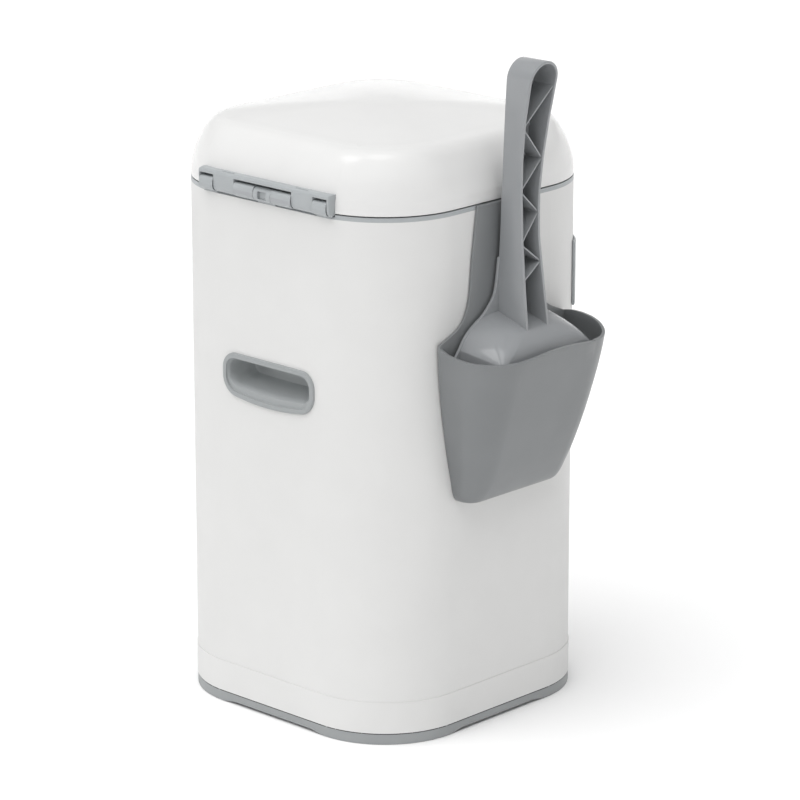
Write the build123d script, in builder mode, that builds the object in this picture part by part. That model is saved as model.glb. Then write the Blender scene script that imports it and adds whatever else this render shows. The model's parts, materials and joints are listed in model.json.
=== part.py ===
"""Litter disposal pail with a hinged lid, a swing-up top unit, a sliding clamp and a scoop.

Millimetres, +Z up. -Y is the front, +Y the back with the hinge, -X the scoop's side.
The origin is the centre of the casing's footprint, on the floor.
"""

import os
from math import cos, radians, sin, sqrt

from build123d import *

# Casing, skirt and base
BODY_HALF = 114.5  # half the width of the square casing
BODY_R = 64.0  # its plan corner radius
WALL = 3.0
CASING_TOP = 377.3
BASE_TOP = 8.4  # grey base below the white skirt
SKIRT_H = 23.0
SKIRT_PROUD = 0.5
FLOOR_T = 3.2
RIM_W = 5.0
ARCH_H = 2.7  # the base's sides are lifted this far between the feet
FOOT_W = 14.0
FOOT_REACH = 66.0  # feet start this far from the middle of each side
CENTRE_FOOT_R = 32.0
LIP_H = 9.0
LIP_T = 2.0
FIT = 0.3  # gap between parts that slip into each other
BOSS_R = 5.0
BOSS_H = 15.0

# Collar and the grip in the back wall
COLLAR_H = 3.1
COLLAR_W = 10.5
LEDGE_T = 2.5
LEDGE_W = 5.0
PLUG_H = 10.0
GRIP_HALF_W = 46.3
GRIP_TOP = 265.9
GRIP_SIDE_H = 27.5
GRIP_SMILE = 5.0  # the lower edge sags this far in the middle
GRIP_CORNER = 12.0
GRIP_RIM = 6.6
GRIP_PROUD = 2.0
GRIP_DEPTH = 26.0
GRIP_WALL = 2.2

# Hinge
HINGE_R = 5.2
HINGE_OUT = 0.8  # axis behind the back wall's face
HINGE_UP = 6.9  # axis above the casing's top
PIN_R = 1.5
PIN_RUN = 0.05  # running clearance on the pin
KNUCKLE_GAP = 0.3
LUG_HALF = 8.3
TOP_KNUCKLE_END = 27.9
LID_KNUCKLE_END = 48.4
COLLAR_KNUCKLE_END = 61.8
BAR_HALF = 63.6
BAR_TOP = 10.4  # bar's top above the axis
BAR_CHAMFER = 2.4
BAR_CLEAR = 0.45
KNUCKLE_BEVEL = 1.7  # lets the bar swing past the collar
WINDOW_W = 8.4
WINDOW_H = 5.6
WINDOW_D = 2.4
BAR_SLOT_L = 12.0
BAR_SLOT_W = 1.5
BAR_SLOT_X = 36.0
BAR_SCREW_X = 38.0
BAR_SCREW_UP = 8.0
BAR_SCREW_IN = 5.1
BAR_SCREW_L = 7.0

# Lid: (height, inset) of the side profile, then the dome
LID_GAP = 1.0
LID_PROFILE = [(0.0, 0.0), (10.4, 1.6), (22.9, 5.8), (33.3, 10.7), (41.6, 18.4)]
LID_DOME = 8.6
DOME_STEPS = 4
LID_T = 2.6
LINER_IN = 3.4
LINER_T = 2.0
LINER_UP = 1.0
LINER_NOTCH_IN = 14.5
GASKET_R = 90.0
GASKET_W = 4.0
LIFT_LIP_HALF = 22.0
LIFT_LIP_OUT = 4.0
LIFT_LIP_H = 4.0

# Top unit: deck, well, refill, clamp housing
NOTCH_HALF = 50.3
NOTCH_BOTTOM = 284.0
PANEL_GAP = 0.4
APRON_T = 2.8
APRON_LEDGE = 13.5
APRON_LEDGE_HALF = 45.0
APRON_SCREW_X = 35.0
APRON_SCREW_IN = 8.5
CHUTE_Y = -6.0
CHUTE_R = 38.0
WELL_R = 80.0
WELL_DEPTH = 40.0
THIN = 2.5
HOUSING_TOP = 322.0
HOUSING_H = 26.0
HOUSING_HALF = 49.4
HOUSING_BACK = 60.0
EAR_X = 54.0
EAR_YS = (-50.0, 45.0)
EAR_R = 5.5
EAR_T = 4.0
TRAY_H = 34.0
TRAY_T = 2.0
CORE_R = 46.0
COVER_T = 2.5
FILM_GAP = 1.0
FILM_LOW = 3.0
ARM_UP = 0.3
ARM_T = 2.5
ARM_IN = 13.5

# Gate, handle and springs
GATE_HALF = 44.0
GATE_T = 4.0
GATE_Z = 305.0
GATE_BACK = 46.0
GATE_RUN = 0.2
SEAL_L = 3.0
NECK_HALF = 30.0
LUG_L = 5.0
NECK_OUT = 13.1
JAW_BACK = 53.0
GROOVE_X = 44.6
GROOVE_W = 5.0
GROOVE_H = 5.4
SPRING_R = 1.9
SPRING_WIRE = 0.4
SPRING_TURNS = 16
SPRING_IN = 16.5
HANDLE_LOW = 286.0
HANDLE_HIGH = 333.0
HANDLE_OUT = 17.0  # handle's face in front of the casing
HANDLE_T = 3.4
HANDLE_BEND = [(62.0, 5.5), (35.0, 14.8)]  # (distance from the middle, distance of the face from the wall)
HANDLE_ARC = (33.0, 45.0, 58.0)  # degrees round the corner from the side, from where the handle ends
HANDLE_END_OUT = 2.1
HANDLE_END_GAP = 0.4
HANDLE_BOSS_H = 6.0
HANDLE_BOSS_L = 9.0
HANDLE_BOSS_HALF = 26.0
HANDLE_SCREW_X = 20.0
HANDLE_WEDGE_T = 1.2
HANDLE_ROUND = 0.8
CUTTER_HALF = 22.0
CUTTER_L = 16.0
CUTTER_H = 5.5
CUTTER_IN = 14.5
CUTTER_SLOT = 3.0
BLADE_T = 0.5
BLADE_H = 3.5

# Screws
HEAD_R = 3.2
HEAD_H = 2.0
SHANK_R = 1.5
SCREW_RUN = 0.05
DRIVE_R = 1.3

# Scoop holder: strap and pocket, as (half width, height)
HOLDER_GAP = 0.2
HOLDER_T = 2.2
STRAP = [
    (27.6, 380.4), (30.8, 357.0), (32.7, 342.0), (34.6, 322.0), (36.6, 312.0), (40.6, 303.0), (46.6, 297.0),
    (54.6, 293.0), (65.5, 288.5),
]
HOLDER_SIDE = [
    (65.6, 284.0), (64.6, 271.0), (62.5, 249.0), (59.4, 227.0), (55.2, 204.5), (51.0, 185.0), (47.5, 176.5),
]
HOLDER_LOW = [(43.0, 172.3), (38.0, 171.5)]
POCKET = [  # (height, half width at the wall, depth, corner radius)
    (171.5, 43.0, 11.5, 7.0),
    (173.0, 46.2, 14.7, 8.5),
    (176.0, 48.6, 17.9, 10.0),
    (181.0, 50.2, 21.3, 11.0),
    (187.0, 51.4, 24.5, 11.7),
    (197.0, 53.7, 29.0, 12.7),
    (210.0, 56.3, 33.8, 13.8),
    (225.0, 59.0, 38.7, 15.0),
    (240.0, 61.3, 43.1, 16.2),
    (256.0, 63.3, 47.5, 17.3),
    (272.0, 64.7, 51.5, 18.2),
    (292.0, 65.9, 56.2, 19.3),
]
POCKET_ROUND = 180.0  # below this the inside keeps the bottom's thickness
POCKET_SIDE = 72.0  # beyond the pocket on every side
POCKET_CUT = [(0.0, 288.0), (28.0, 285.2), (70.0, 279.0)]  # rim: (distance from the wall, height)
HOOK_DROP = 8.0
HOOK_T = 2.0
HOOK_HALF = 20.0
HOOK_FLOAT = 0.3

# Scoop: pan sections (height, half width, front half width, depth, corner radius)
PAN_OUT = 4.7  # distance of the pan's open side from the wall
PAN_T = 2.0
PAN = [
    (174.0, 39.0, 36.0, 4.5, 2.5),
    (205.0, 45.0, 41.5, 18.5, 8.0),
    (240.0, 49.0, 44.5, 30.0, 10.0),
    (270.0, 50.8, 46.2, 37.6, 8.0),
    (280.0, 50.4, 46.0, 38.2, 7.0),
    (286.0, 47.8, 43.6, 36.2, 9.0),
    (291.0, 44.4, 40.0, 33.0, 11.0),
    (296.0, 39.4, 34.8, 27.0, 11.0),
    (300.0, 34.0, 29.5, 15.0, 8.0),
    (304.0, 20.0, 17.0, 4.0, 2.5),
]
FIN = [
    (54.0, 277.0), (50.0, 284.0), (44.4, 291.4), (38.0, 296.2), (30.0, 301.4), (24.4, 305.4), (18.0, 311.8),
    (13.8, 320.0), (10.4, 342.0),
]
FIN_T = 2.3
PAN_TIP_R = 1.0
PAN_HEEL = 275.0  # above this the pan closes towards the handle
HANDLE_SPAN = 20.0
HANDLE_HOLLOW_LOW = 307.0
RIB_REACH = 11.5
HANDLE_SIDE = [  # half width of the scoop's handle, bottom to top
    (11.8, 290.0), (10.9, 320.0), (9.7, 357.0), (10.1, 386.0), (11.6, 413.0), (13.2, 441.0), (14.1, 468.4),
]
HANDLE_TOP = 482.5
HANDLE_FRONT = [  # distance of the handle's outer edge from the wall
    (34.5, 290.0), (30.7, 320.0), (26.6, 357.0), (26.0, 386.0), (27.7, 413.0), (31.5, 441.0), (38.5, 476.0),
    (40.0, 484.0),
]
HANDLE_REAR = [
    (5.4, 290.0), (5.4, 325.0), (6.5, 357.0), (7.8, 386.0), (10.3, 411.0), (13.1, 440.0),
    (15.7, 472.0), (16.5, 484.0),
]
FLANGE_T = 2.2
WEB_T = 2.4
RIB_T = 1.5
RIB_RECESS = 1.2
RIB_FAR = (464.0, 412.0, 374.0, 339.5)  # rib ends on the far flange
RIB_NEAR = (436.0, 391.0, 353.5, 328.0)  # and on the near flange
SLOT_W = 5.0
SLOTS = 6
SLOT_SPAN = 66.0
SLOT_LOW = 196.0
SLOT_HIGH = 250.0

# Places worked out from the values above
SKIRT_TOP = BASE_TOP + SKIRT_H
FLAT_HALF = BODY_HALF - BODY_R
COLLAR_TOP = CASING_TOP + COLLAR_H
LID_BOTTOM = COLLAR_TOP + LID_GAP
HINGE_Y = BODY_HALF + HINGE_OUT
HINGE_Z = CASING_TOP + HINGE_UP
BORE_R = PIN_R + PIN_RUN
BAR_OUT = HINGE_Y + HINGE_R
BAR_UNDER = HINGE_Z + HINGE_R + BAR_CLEAR
BAR_SCREW_Z = HINGE_Z + BAR_SCREW_UP
BAR_SEAT = BODY_HALF - BAR_SCREW_IN
CREASE_H, CREASE_IN = LID_PROFILE[-1]
WELL_FLOOR = CASING_TOP - WELL_DEPTH
HOUSING_FLOOR = HOUSING_TOP - HOUSING_H
HOUSING_FRONT = BODY_HALF - APRON_T - FIT
HOOK_END = -BODY_HALF + WALL + FIT + LIP_T
PAN_BACK = BODY_HALF + PAN_OUT
NECK_FRONT = BODY_HALF + NECK_OUT
LINER_NOTCH_Y = BODY_HALF - LINER_NOTCH_IN
ARM_FROM = BODY_HALF - ARM_IN
CUTTER_FRONT = BODY_HALF - CUTTER_IN
SPRING_FRONT = SPRING_IN - BODY_HALF
BOSS_AT = FLAT_HALF + (BODY_R - WALL - BOSS_R + 1) / sqrt(2)

BACK = Plane(origin=(0, 0, 0), x_dir=(-1, 0, 0), z_dir=(0, 1, 0))  # looking at the back wall
SIDE = Plane(origin=(0, 0, 0), x_dir=(0, -1, 0), z_dir=(-1, 0, 0))  # looking at the scoop's side
ACROSS = Plane(origin=(0, 0, 0), x_dir=(0, 1, 0), z_dir=(1, 0, 0))  # sections along the hinge


def square(inset, mode=Mode.ADD):
    """The casing's rounded square, moved inwards by inset."""
    RectangleRounded(2 * (BODY_HALF - inset), 2 * (BODY_HALF - inset), BODY_R - inset, mode=mode)


def ring(low, high, outset, inset, mode=Mode.ADD):
    """A square ring between two insets from the casing's face."""
    with BuildSketch(Plane.XY.offset(low)) as outline:
        square(outset)
        square(inset, Mode.SUBTRACT)
    extrude(outline.sketch, amount=high - low, mode=mode)


def block(x0, x1, y0, y1, z0, z1, mode=Mode.ADD):
    """A block between two corners."""
    with BuildSketch(Plane.XY.offset(z0)) as outline:
        with Locations(((x0 + x1) / 2, (y0 + y1) / 2)):
            Rectangle(x1 - x0, y1 - y0)
    extrude(outline.sketch, amount=z1 - z0, mode=mode)


def disc(radius, low, high, at=(0, 0), mode=Mode.ADD):
    """An upright cylinder between two heights."""
    with BuildSketch(Plane.XY.offset(low)) as outline:
        with Locations(at):
            Circle(radius)
    extrude(outline.sketch, amount=high - low, mode=mode)


def barrel(x0, x1, radius, mode=Mode.ADD):
    """A cylinder on the hinge's axis."""
    with BuildSketch(ACROSS.offset(x0)) as outline:
        with Locations((HINGE_Y, HINGE_Z)):
            Circle(radius)
    extrude(outline.sketch, amount=x1 - x0, mode=mode)


def screw(head_at, direction, length):
    """A pan-head screw: head_at is under its head, direction the way its head faces."""
    seat = Plane(origin=head_at, z_dir=direction)
    with BuildSketch(seat) as head:
        Circle(HEAD_R)
    extrude(head.sketch, amount=HEAD_H)
    with BuildSketch(seat.offset(HEAD_H / 2)) as drive:
        RegularPolygon(DRIVE_R, 6)
    extrude(drive.sketch, amount=HEAD_H, mode=Mode.SUBTRACT)
    with BuildSketch(seat) as shank:
        Circle(SHANK_R)
    extrude(shank.sketch, amount=-length)


def both(x):
    """A distance on both sides of the middle."""
    return (-x, x)


def save(builder, name):
    """Label a finished piece and write it."""
    builder.part.label = name
    export_step(builder.part, f"parts/{name}.step")


os.makedirs("parts", exist_ok=True)


# ---------------------------------------------------------------- casing, skirt and base

def grip_outline(plane, inset):
    """The grip's outline on a plane, flat on top and sagging below, moved inwards by inset."""
    half = GRIP_HALF_W - inset
    top = GRIP_TOP - inset
    low = GRIP_TOP - GRIP_SIDE_H + inset
    with BuildSketch(plane) as outline:
        with BuildLine():
            Polyline((-half, low), (-half, top), (half, top), (half, low))
            ThreePointArc((half, low), (0, low - GRIP_SMILE), (-half, low))
        make_face()
        fillet(outline.vertices(), GRIP_CORNER - inset)
    return outline.sketch


with BuildPart() as casing:
    ring(SKIRT_TOP, CASING_TOP, 0, WALL)
    block(*both(NOTCH_HALF), -BODY_HALF - 1, -BODY_HALF + WALL + 1, NOTCH_BOTTOM, CASING_TOP, Mode.SUBTRACT)
    extrude(grip_outline(BACK.offset(BODY_HALF - WALL - 1), GRIP_RIM - GRIP_WALL - FIT),
            amount=WALL + 2, mode=Mode.SUBTRACT)
save(casing, "casing")

with BuildPart() as base_skirt:
    ring(BASE_TOP, SKIRT_TOP, -SKIRT_PROUD, WALL)
    ring(SKIRT_TOP - LIP_H, SKIRT_TOP + LIP_H, WALL + FIT, WALL + FIT + LIP_T)
    ring(SKIRT_TOP - LIP_H, SKIRT_TOP - LIP_H / 2, WALL - FIT, WALL + FIT + LIP_T)
    for x in both(BOSS_AT):
        for y in both(BOSS_AT):
            disc(BOSS_R, BASE_TOP, BASE_TOP + BOSS_H, (x, y))
            disc(SHANK_R + SCREW_RUN, BASE_TOP, BASE_TOP + BOSS_H - 2, (x, y), Mode.SUBTRACT)
save(base_skirt, "base_skirt")

with BuildPart() as base_tray:
    ring(ARCH_H, BASE_TOP, 0, RIM_W)
    with BuildSketch(Plane.XY.offset(BASE_TOP - FLOOR_T)):
        square(RIM_W / 2)
    extrude(amount=FLOOR_T)
    ring(0, ARCH_H, 0, FOOT_W)
    block(*both(FOOT_REACH), *both(BODY_HALF + 1), 0, ARCH_H, Mode.SUBTRACT)
    block(*both(BODY_HALF + 1), *both(FOOT_REACH), 0, ARCH_H, Mode.SUBTRACT)
    for x in both(BOSS_AT - FOOT_W / 4):
        for y in both(BOSS_AT - FOOT_W / 4):
            disc(HEAD_R + LIP_T + LIP_T, 0, BASE_TOP - FLOOR_T, (x, y))
    disc(CENTRE_FOOT_R, 0, BASE_TOP - FLOOR_T)
    for angle in range(0, 360, 90):
        with BuildSketch(Plane.XY.offset(BASE_TOP)):
            with Locations(Rot(0, 0, angle) * Pos(BODY_HALF - WALL - FIT - LIP_T / 2, 0)):
                Rectangle(LIP_T, 2 * (FLAT_HALF - LIP_H))
        extrude(amount=LIP_H)
    for x in both(BOSS_AT):
        for y in both(BOSS_AT):
            disc(SHANK_R + SCREW_RUN, 0, BASE_TOP, (x, y), Mode.SUBTRACT)
            disc(HEAD_R + FIT, 0, BASE_TOP - FLOOR_T, (x, y), Mode.SUBTRACT)
save(base_tray, "base_tray")

with BuildPart() as base_screws:
    for x in both(BOSS_AT):
        for y in both(BOSS_AT):
            screw((x, y, BASE_TOP - FLOOR_T), (0, 0, -1), FLOOR_T + BOSS_H - 4)
save(base_screws, "base_screws")

with BuildPart() as grip_cup:
    extrude(grip_outline(BACK.offset(BODY_HALF), 0), amount=GRIP_PROUD)
    fillet(grip_cup.faces().sort_by(Axis.Y)[-1].edges(), GRIP_PROUD * 0.6)
    extrude(grip_outline(BACK.offset(BODY_HALF), GRIP_RIM - GRIP_WALL), amount=-GRIP_DEPTH)
    extrude(grip_outline(BACK.offset(BODY_HALF - GRIP_DEPTH + GRIP_WALL), GRIP_RIM),
            amount=GRIP_DEPTH, mode=Mode.SUBTRACT)
save(grip_cup, "grip_cup")


# ---------------------------------------------------------------- collar and hinge

with BuildPart() as collar:
    ring(CASING_TOP, COLLAR_TOP, 0, COLLAR_W)
    ring(CASING_TOP - LEDGE_T, CASING_TOP, WALL + FIT, COLLAR_W + LEDGE_W)
    ring(CASING_TOP - PLUG_H, CASING_TOP - LEDGE_T, WALL + FIT, WALL + FIT + LIP_T)
    block(*both(NOTCH_HALF), -BODY_HALF - 1, -BODY_HALF + COLLAR_W + LEDGE_W + 1,
          CASING_TOP - PLUG_H, COLLAR_TOP, Mode.SUBTRACT)
    barrel(-COLLAR_KNUCKLE_END, COLLAR_KNUCKLE_END, HINGE_R + BAR_CLEAR, Mode.SUBTRACT)
    block(*both(BAR_HALF + KNUCKLE_GAP), BODY_HALF - WALL, BODY_HALF + 1,
          HINGE_Z - HINGE_R, COLLAR_TOP, Mode.SUBTRACT)
    with BuildSketch(ACROSS.offset(-BAR_HALF - KNUCKLE_GAP)):
        with BuildLine():
            Polyline((BODY_HALF, CASING_TOP), (BODY_HALF, HINGE_Z), (BODY_HALF - KNUCKLE_BEVEL, HINGE_Z),
                     (BODY_HALF - KNUCKLE_BEVEL, CASING_TOP + KNUCKLE_BEVEL), (BODY_HALF, CASING_TOP))
        make_face()
    extrude(amount=2 * (BAR_HALF + KNUCKLE_GAP), mode=Mode.SUBTRACT)
    for x0, x1 in ((-COLLAR_KNUCKLE_END, -LID_KNUCKLE_END - KNUCKLE_GAP),
                   (LID_KNUCKLE_END + KNUCKLE_GAP, COLLAR_KNUCKLE_END), both(LUG_HALF)):
        barrel(x0, x1, HINGE_R)
        block(x0, x1, BODY_HALF - WALL - LEDGE_W, HINGE_Y, CASING_TOP + KNUCKLE_GAP, HINGE_Z - HINGE_R / 2)
    block(*both(WINDOW_W / 2), BAR_OUT - WINDOW_D, BAR_OUT,
          HINGE_Z - WINDOW_H / 2, HINGE_Z + WINDOW_H / 2, Mode.SUBTRACT)
    barrel(-COLLAR_KNUCKLE_END, COLLAR_KNUCKLE_END, BORE_R, Mode.SUBTRACT)
    # slot and recess for the scoop holder's hook
    block(-BODY_HALF - 1, -BODY_HALF + WALL + FIT + LIP_T + HOOK_FLOAT, *both(HOOK_HALF + FIT),
          COLLAR_TOP - HOOK_T - FIT, COLLAR_TOP, Mode.SUBTRACT)
    block(-BODY_HALF + WALL + FIT, -BODY_HALF + WALL + FIT + LIP_T + HOOK_FLOAT, *both(HOOK_HALF + FIT),
          CASING_TOP - PLUG_H, COLLAR_TOP, Mode.SUBTRACT)
save(collar, "collar")

with BuildPart() as hinge_pin:
    barrel(-COLLAR_KNUCKLE_END, COLLAR_KNUCKLE_END, PIN_R)
save(hinge_pin, "hinge_pin")


# ---------------------------------------------------------------- lid

def lid_solid(shrink):
    """The lid's outside moved inwards by shrink: stacked rounded squares, then the dome."""
    sides = []
    for height, inset in LID_PROFILE:
        with BuildSketch(Plane.XY.offset(LID_BOTTOM + height * (CREASE_H - shrink) / CREASE_H)) as level:
            square(inset + shrink)
        sides.append(level.sketch)
    loft(sides)
    top = LID_BOTTOM + CREASE_H - shrink
    dome = []
    for step in range(DOME_STEPS):
        share = 1 - step / DOME_STEPS
        half = share * (BODY_HALF - CREASE_IN - shrink)
        with BuildSketch(Plane.XY.offset(top + LID_DOME * (1 - share * share))) as level:
            RectangleRounded(2 * half, 2 * half, share * (BODY_R - CREASE_IN - shrink))
        dome.append(level.sketch)
    loft(dome)


def bar_holes(radius, y0, y1):
    """Bores along Y for the two screws that hold the bar to the lid."""
    with BuildSketch(BACK.offset(y0)) as bores:
        with Locations(*((x, BAR_SCREW_Z) for x in both(BAR_SCREW_X))):
            Circle(radius)
    extrude(bores.sketch, amount=y1 - y0, mode=Mode.SUBTRACT)


with BuildPart() as lid_outside:
    lid_solid(0)

with BuildPart() as lid_inside:
    lid_solid(LID_T)

with BuildPart() as lid_shell:
    add(lid_outside.part)
    block(*both(LIFT_LIP_HALF), -BODY_HALF - LIFT_LIP_OUT, -BODY_HALF + LID_T,
          LID_BOTTOM, LID_BOTTOM + LIFT_LIP_H)
    add(lid_inside.part, mode=Mode.SUBTRACT)
    block(*both(BAR_HALF + KNUCKLE_GAP), BODY_HALF - LID_T - LEDGE_W, BODY_HALF + 1,
          LID_BOTTOM, BAR_UNDER, Mode.SUBTRACT)
    bar_holes(HEAD_R + FIT, BAR_SEAT - HEAD_H - BAR_CHAMFER, BAR_SEAT)
    bar_holes(SHANK_R + SCREW_RUN, BAR_SEAT, BAR_OUT)
save(lid_shell, "lid_shell")

with BuildPart() as lid_hinge_bar:
    block(*both(BAR_HALF), BODY_HALF - LID_T - LEDGE_W, BAR_OUT, BAR_UNDER, HINGE_Z + BAR_TOP)
    add(lid_outside.part, mode=Mode.SUBTRACT)
    for x0, x1 in ((-BAR_HALF, -COLLAR_KNUCKLE_END - KNUCKLE_GAP),
                   (COLLAR_KNUCKLE_END + KNUCKLE_GAP, BAR_HALF),
                   (-LID_KNUCKLE_END, -TOP_KNUCKLE_END - KNUCKLE_GAP),
                   (TOP_KNUCKLE_END + KNUCKLE_GAP, LID_KNUCKLE_END)):
        barrel(x0, x1, HINGE_R)
        block(x0, x1, HINGE_Y - HINGE_R, BAR_OUT, HINGE_Z, BAR_UNDER)
    top_edge = lid_hinge_bar.edges().filter_by(Axis.X).group_by(Axis.Z)[-1].sort_by(Axis.Y)[-1]
    chamfer(top_edge, BAR_CHAMFER)
    barrel(-COLLAR_KNUCKLE_END, COLLAR_KNUCKLE_END, BORE_R, Mode.SUBTRACT)
    for x in both(BAR_SLOT_X):
        block(x - BAR_SLOT_L / 2, x + BAR_SLOT_L / 2,
              BAR_OUT - BAR_CHAMFER - BAR_SLOT_W, BAR_OUT - BAR_CHAMFER,
              HINGE_Z + BAR_TOP - BAR_SLOT_W, HINGE_Z + BAR_TOP, Mode.SUBTRACT)
    bar_holes(SHANK_R + SCREW_RUN, BAR_SEAT, BAR_SEAT + BAR_SCREW_L + FIT)
save(lid_hinge_bar, "lid_hinge_bar")

with BuildPart() as lid_screws:
    for x in both(BAR_SCREW_X):
        screw((x, BAR_SEAT, BAR_SCREW_Z), (0, -1, 0), BAR_SCREW_L)
save(lid_screws, "lid_screws")

LINER_LOW = LID_BOTTOM + LINER_UP

with BuildPart() as lid_liner:
    with BuildSketch(Plane.XY.offset(LINER_LOW)):
        square(LINER_IN)
    extrude(amount=LINER_T)
    block(*both(BAR_HALF + 2 * KNUCKLE_GAP), LINER_NOTCH_Y, BODY_HALF,
          LINER_LOW, LINER_LOW + LINER_T, Mode.SUBTRACT)
save(lid_liner, "lid_liner")

with BuildPart() as lid_gasket:
    disc(GASKET_R, COLLAR_TOP + FIT, LINER_LOW, (0, CHUTE_Y))
    disc(GASKET_R - GASKET_W, COLLAR_TOP + FIT, LINER_LOW, (0, CHUTE_Y), Mode.SUBTRACT)
save(lid_gasket, "lid_gasket")


# ---------------------------------------------------------------- top unit

EARS = [(x, y) for x in both(EAR_X) for y in EAR_YS]
APRON_SCREWS = [(x, -BODY_HALF + APRON_SCREW_IN) for x in both(APRON_SCREW_X)]

with BuildPart() as deck:
    with BuildSketch(Plane.XY.offset(CASING_TOP)):
        square(COLLAR_W + PANEL_GAP)
    extrude(amount=COLLAR_H)
    block(*both(NOTCH_HALF - PANEL_GAP), -BODY_HALF, 0, CASING_TOP, COLLAR_TOP)
    disc(WELL_R + THIN, WELL_FLOOR - THIN, CASING_TOP, (0, CHUTE_Y))
    disc(WELL_R, WELL_FLOOR, COLLAR_TOP, (0, CHUTE_Y), Mode.SUBTRACT)
    disc(CHUTE_R + THIN, HOUSING_TOP, WELL_FLOOR - THIN, (0, CHUTE_Y))
    for ear in EARS:
        disc(EAR_R, HOUSING_TOP, WELL_FLOOR - THIN, ear)
        disc(SHANK_R + SCREW_RUN, HOUSING_TOP, WELL_FLOOR - THIN, ear, Mode.SUBTRACT)
    disc(CHUTE_R, HOUSING_TOP, WELL_FLOOR, (0, CHUTE_Y), Mode.SUBTRACT)
    for at in APRON_SCREWS:
        disc(SHANK_R + SCREW_RUN, CASING_TOP, COLLAR_TOP - FIT, at, Mode.SUBTRACT)
    for x0, x1 in ((-TOP_KNUCKLE_END, -LUG_HALF - KNUCKLE_GAP), (LUG_HALF + KNUCKLE_GAP, TOP_KNUCKLE_END)):
        barrel(x0, x1, HINGE_R)
        block(x0, x1, ARM_FROM, HINGE_Y, COLLAR_TOP + ARM_UP, COLLAR_TOP + ARM_UP + ARM_T)
        block(x0, x1, ARM_FROM, BODY_HALF - COLLAR_W - PANEL_GAP, COLLAR_TOP, COLLAR_TOP + ARM_UP)
    barrel(-TOP_KNUCKLE_END, TOP_KNUCKLE_END, BORE_R, Mode.SUBTRACT)
save(deck, "deck")

APRON_BACK = -BODY_HALF + APRON_T
LEDGE_LOW = CASING_TOP - APRON_T

with BuildPart() as front_apron:
    block(*both(NOTCH_HALF - PANEL_GAP), -BODY_HALF, APRON_BACK, NOTCH_BOTTOM + PANEL_GAP, CASING_TOP)
    block(*both(APRON_LEDGE_HALF), APRON_BACK, -BODY_HALF + APRON_LEDGE, LEDGE_LOW, CASING_TOP)
    block(*both(GATE_HALF + 2 * FIT), -BODY_HALF, APRON_BACK,
          GATE_Z - GATE_T / 2 - FIT, GATE_Z + GATE_T / 2 + FIT, Mode.SUBTRACT)
    for at in APRON_SCREWS:
        disc(SHANK_R + SCREW_RUN, LEDGE_LOW, CASING_TOP, at, Mode.SUBTRACT)
save(front_apron, "front_apron")

with BuildPart() as apron_screws:
    for x, y in APRON_SCREWS:
        screw((x, y, LEDGE_LOW), (0, 0, -1), APRON_T + COLLAR_H - 2 * FIT)
save(apron_screws, "apron_screws")

TRAY_TOP = WELL_FLOOR + TRAY_H
CORE_WALL = CORE_R - TRAY_T

with BuildPart() as refill_tray:
    disc(WELL_R - FIT, WELL_FLOOR, TRAY_TOP, (0, CHUTE_Y))
    disc(WELL_R - FIT - TRAY_T, WELL_FLOOR + TRAY_T, TRAY_TOP, (0, CHUTE_Y), Mode.SUBTRACT)
    disc(CORE_R, WELL_FLOOR, TRAY_TOP - FIT, (0, CHUTE_Y))
    disc(CORE_WALL, WELL_FLOOR, TRAY_TOP, (0, CHUTE_Y), Mode.SUBTRACT)
save(refill_tray, "refill_tray")

with BuildPart() as film_pack:
    disc(WELL_R - FIT - TRAY_T - FILM_GAP, WELL_FLOOR + TRAY_T, TRAY_TOP - FILM_LOW, (0, CHUTE_Y))
    disc(CORE_R + FILM_GAP, WELL_FLOOR + TRAY_T, TRAY_TOP, (0, CHUTE_Y), Mode.SUBTRACT)
save(film_pack, "film_pack")

with BuildPart() as refill_cover:
    disc(WELL_R - FIT, TRAY_TOP, TRAY_TOP + COVER_T, (0, CHUTE_Y))
    disc(CORE_R + FILM_GAP, TRAY_TOP, TRAY_TOP + COVER_T, (0, CHUTE_Y), Mode.SUBTRACT)
save(refill_cover, "refill_cover")

GATE_LOW = GATE_Z - GATE_T / 2
GATE_HIGH = GATE_Z + GATE_T / 2
CHANNEL_LOW = GATE_LOW - GATE_RUN
GROOVE_LOW = CHANNEL_LOW - GROOVE_H

with BuildPart() as clamp_housing:
    block(*both(HOUSING_HALF), -HOUSING_FRONT, HOUSING_BACK, HOUSING_FLOOR, HOUSING_TOP)
    for x, y in EARS:
        disc(EAR_R, HOUSING_TOP - EAR_T, HOUSING_TOP, (x, y))
        block(min(x, 0), max(x, 0), y - EAR_R, y + EAR_R, HOUSING_TOP - EAR_T, HOUSING_TOP)
        disc(SHANK_R + SCREW_RUN, HOUSING_TOP - EAR_T, HOUSING_TOP, (x, y), Mode.SUBTRACT)
    disc(CHUTE_R, HOUSING_FLOOR, HOUSING_TOP, (0, CHUTE_Y), Mode.SUBTRACT)
    block(*both(GATE_HALF + FIT), -HOUSING_FRONT, JAW_BACK, CHANNEL_LOW, GATE_HIGH + GATE_RUN, Mode.SUBTRACT)
    for x in both(GROOVE_X):
        block(x - GROOVE_W / 2, x + GROOVE_W / 2, SPRING_FRONT, GATE_BACK + FIT,
              GROOVE_LOW, CHANNEL_LOW, Mode.SUBTRACT)
save(clamp_housing, "clamp_housing")

with BuildPart() as housing_screws:
    for x, y in EARS:
        screw((x, y, HOUSING_TOP - EAR_T), (0, 0, -1), EAR_T + EAR_R)
save(housing_screws, "housing_screws")

with BuildPart() as fixed_jaw_seal:
    block(*both(GATE_HALF), GATE_BACK + SEAL_L + FIT, JAW_BACK, CHANNEL_LOW, GATE_HIGH + GATE_RUN)
save(fixed_jaw_seal, "fixed_jaw_seal")

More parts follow.
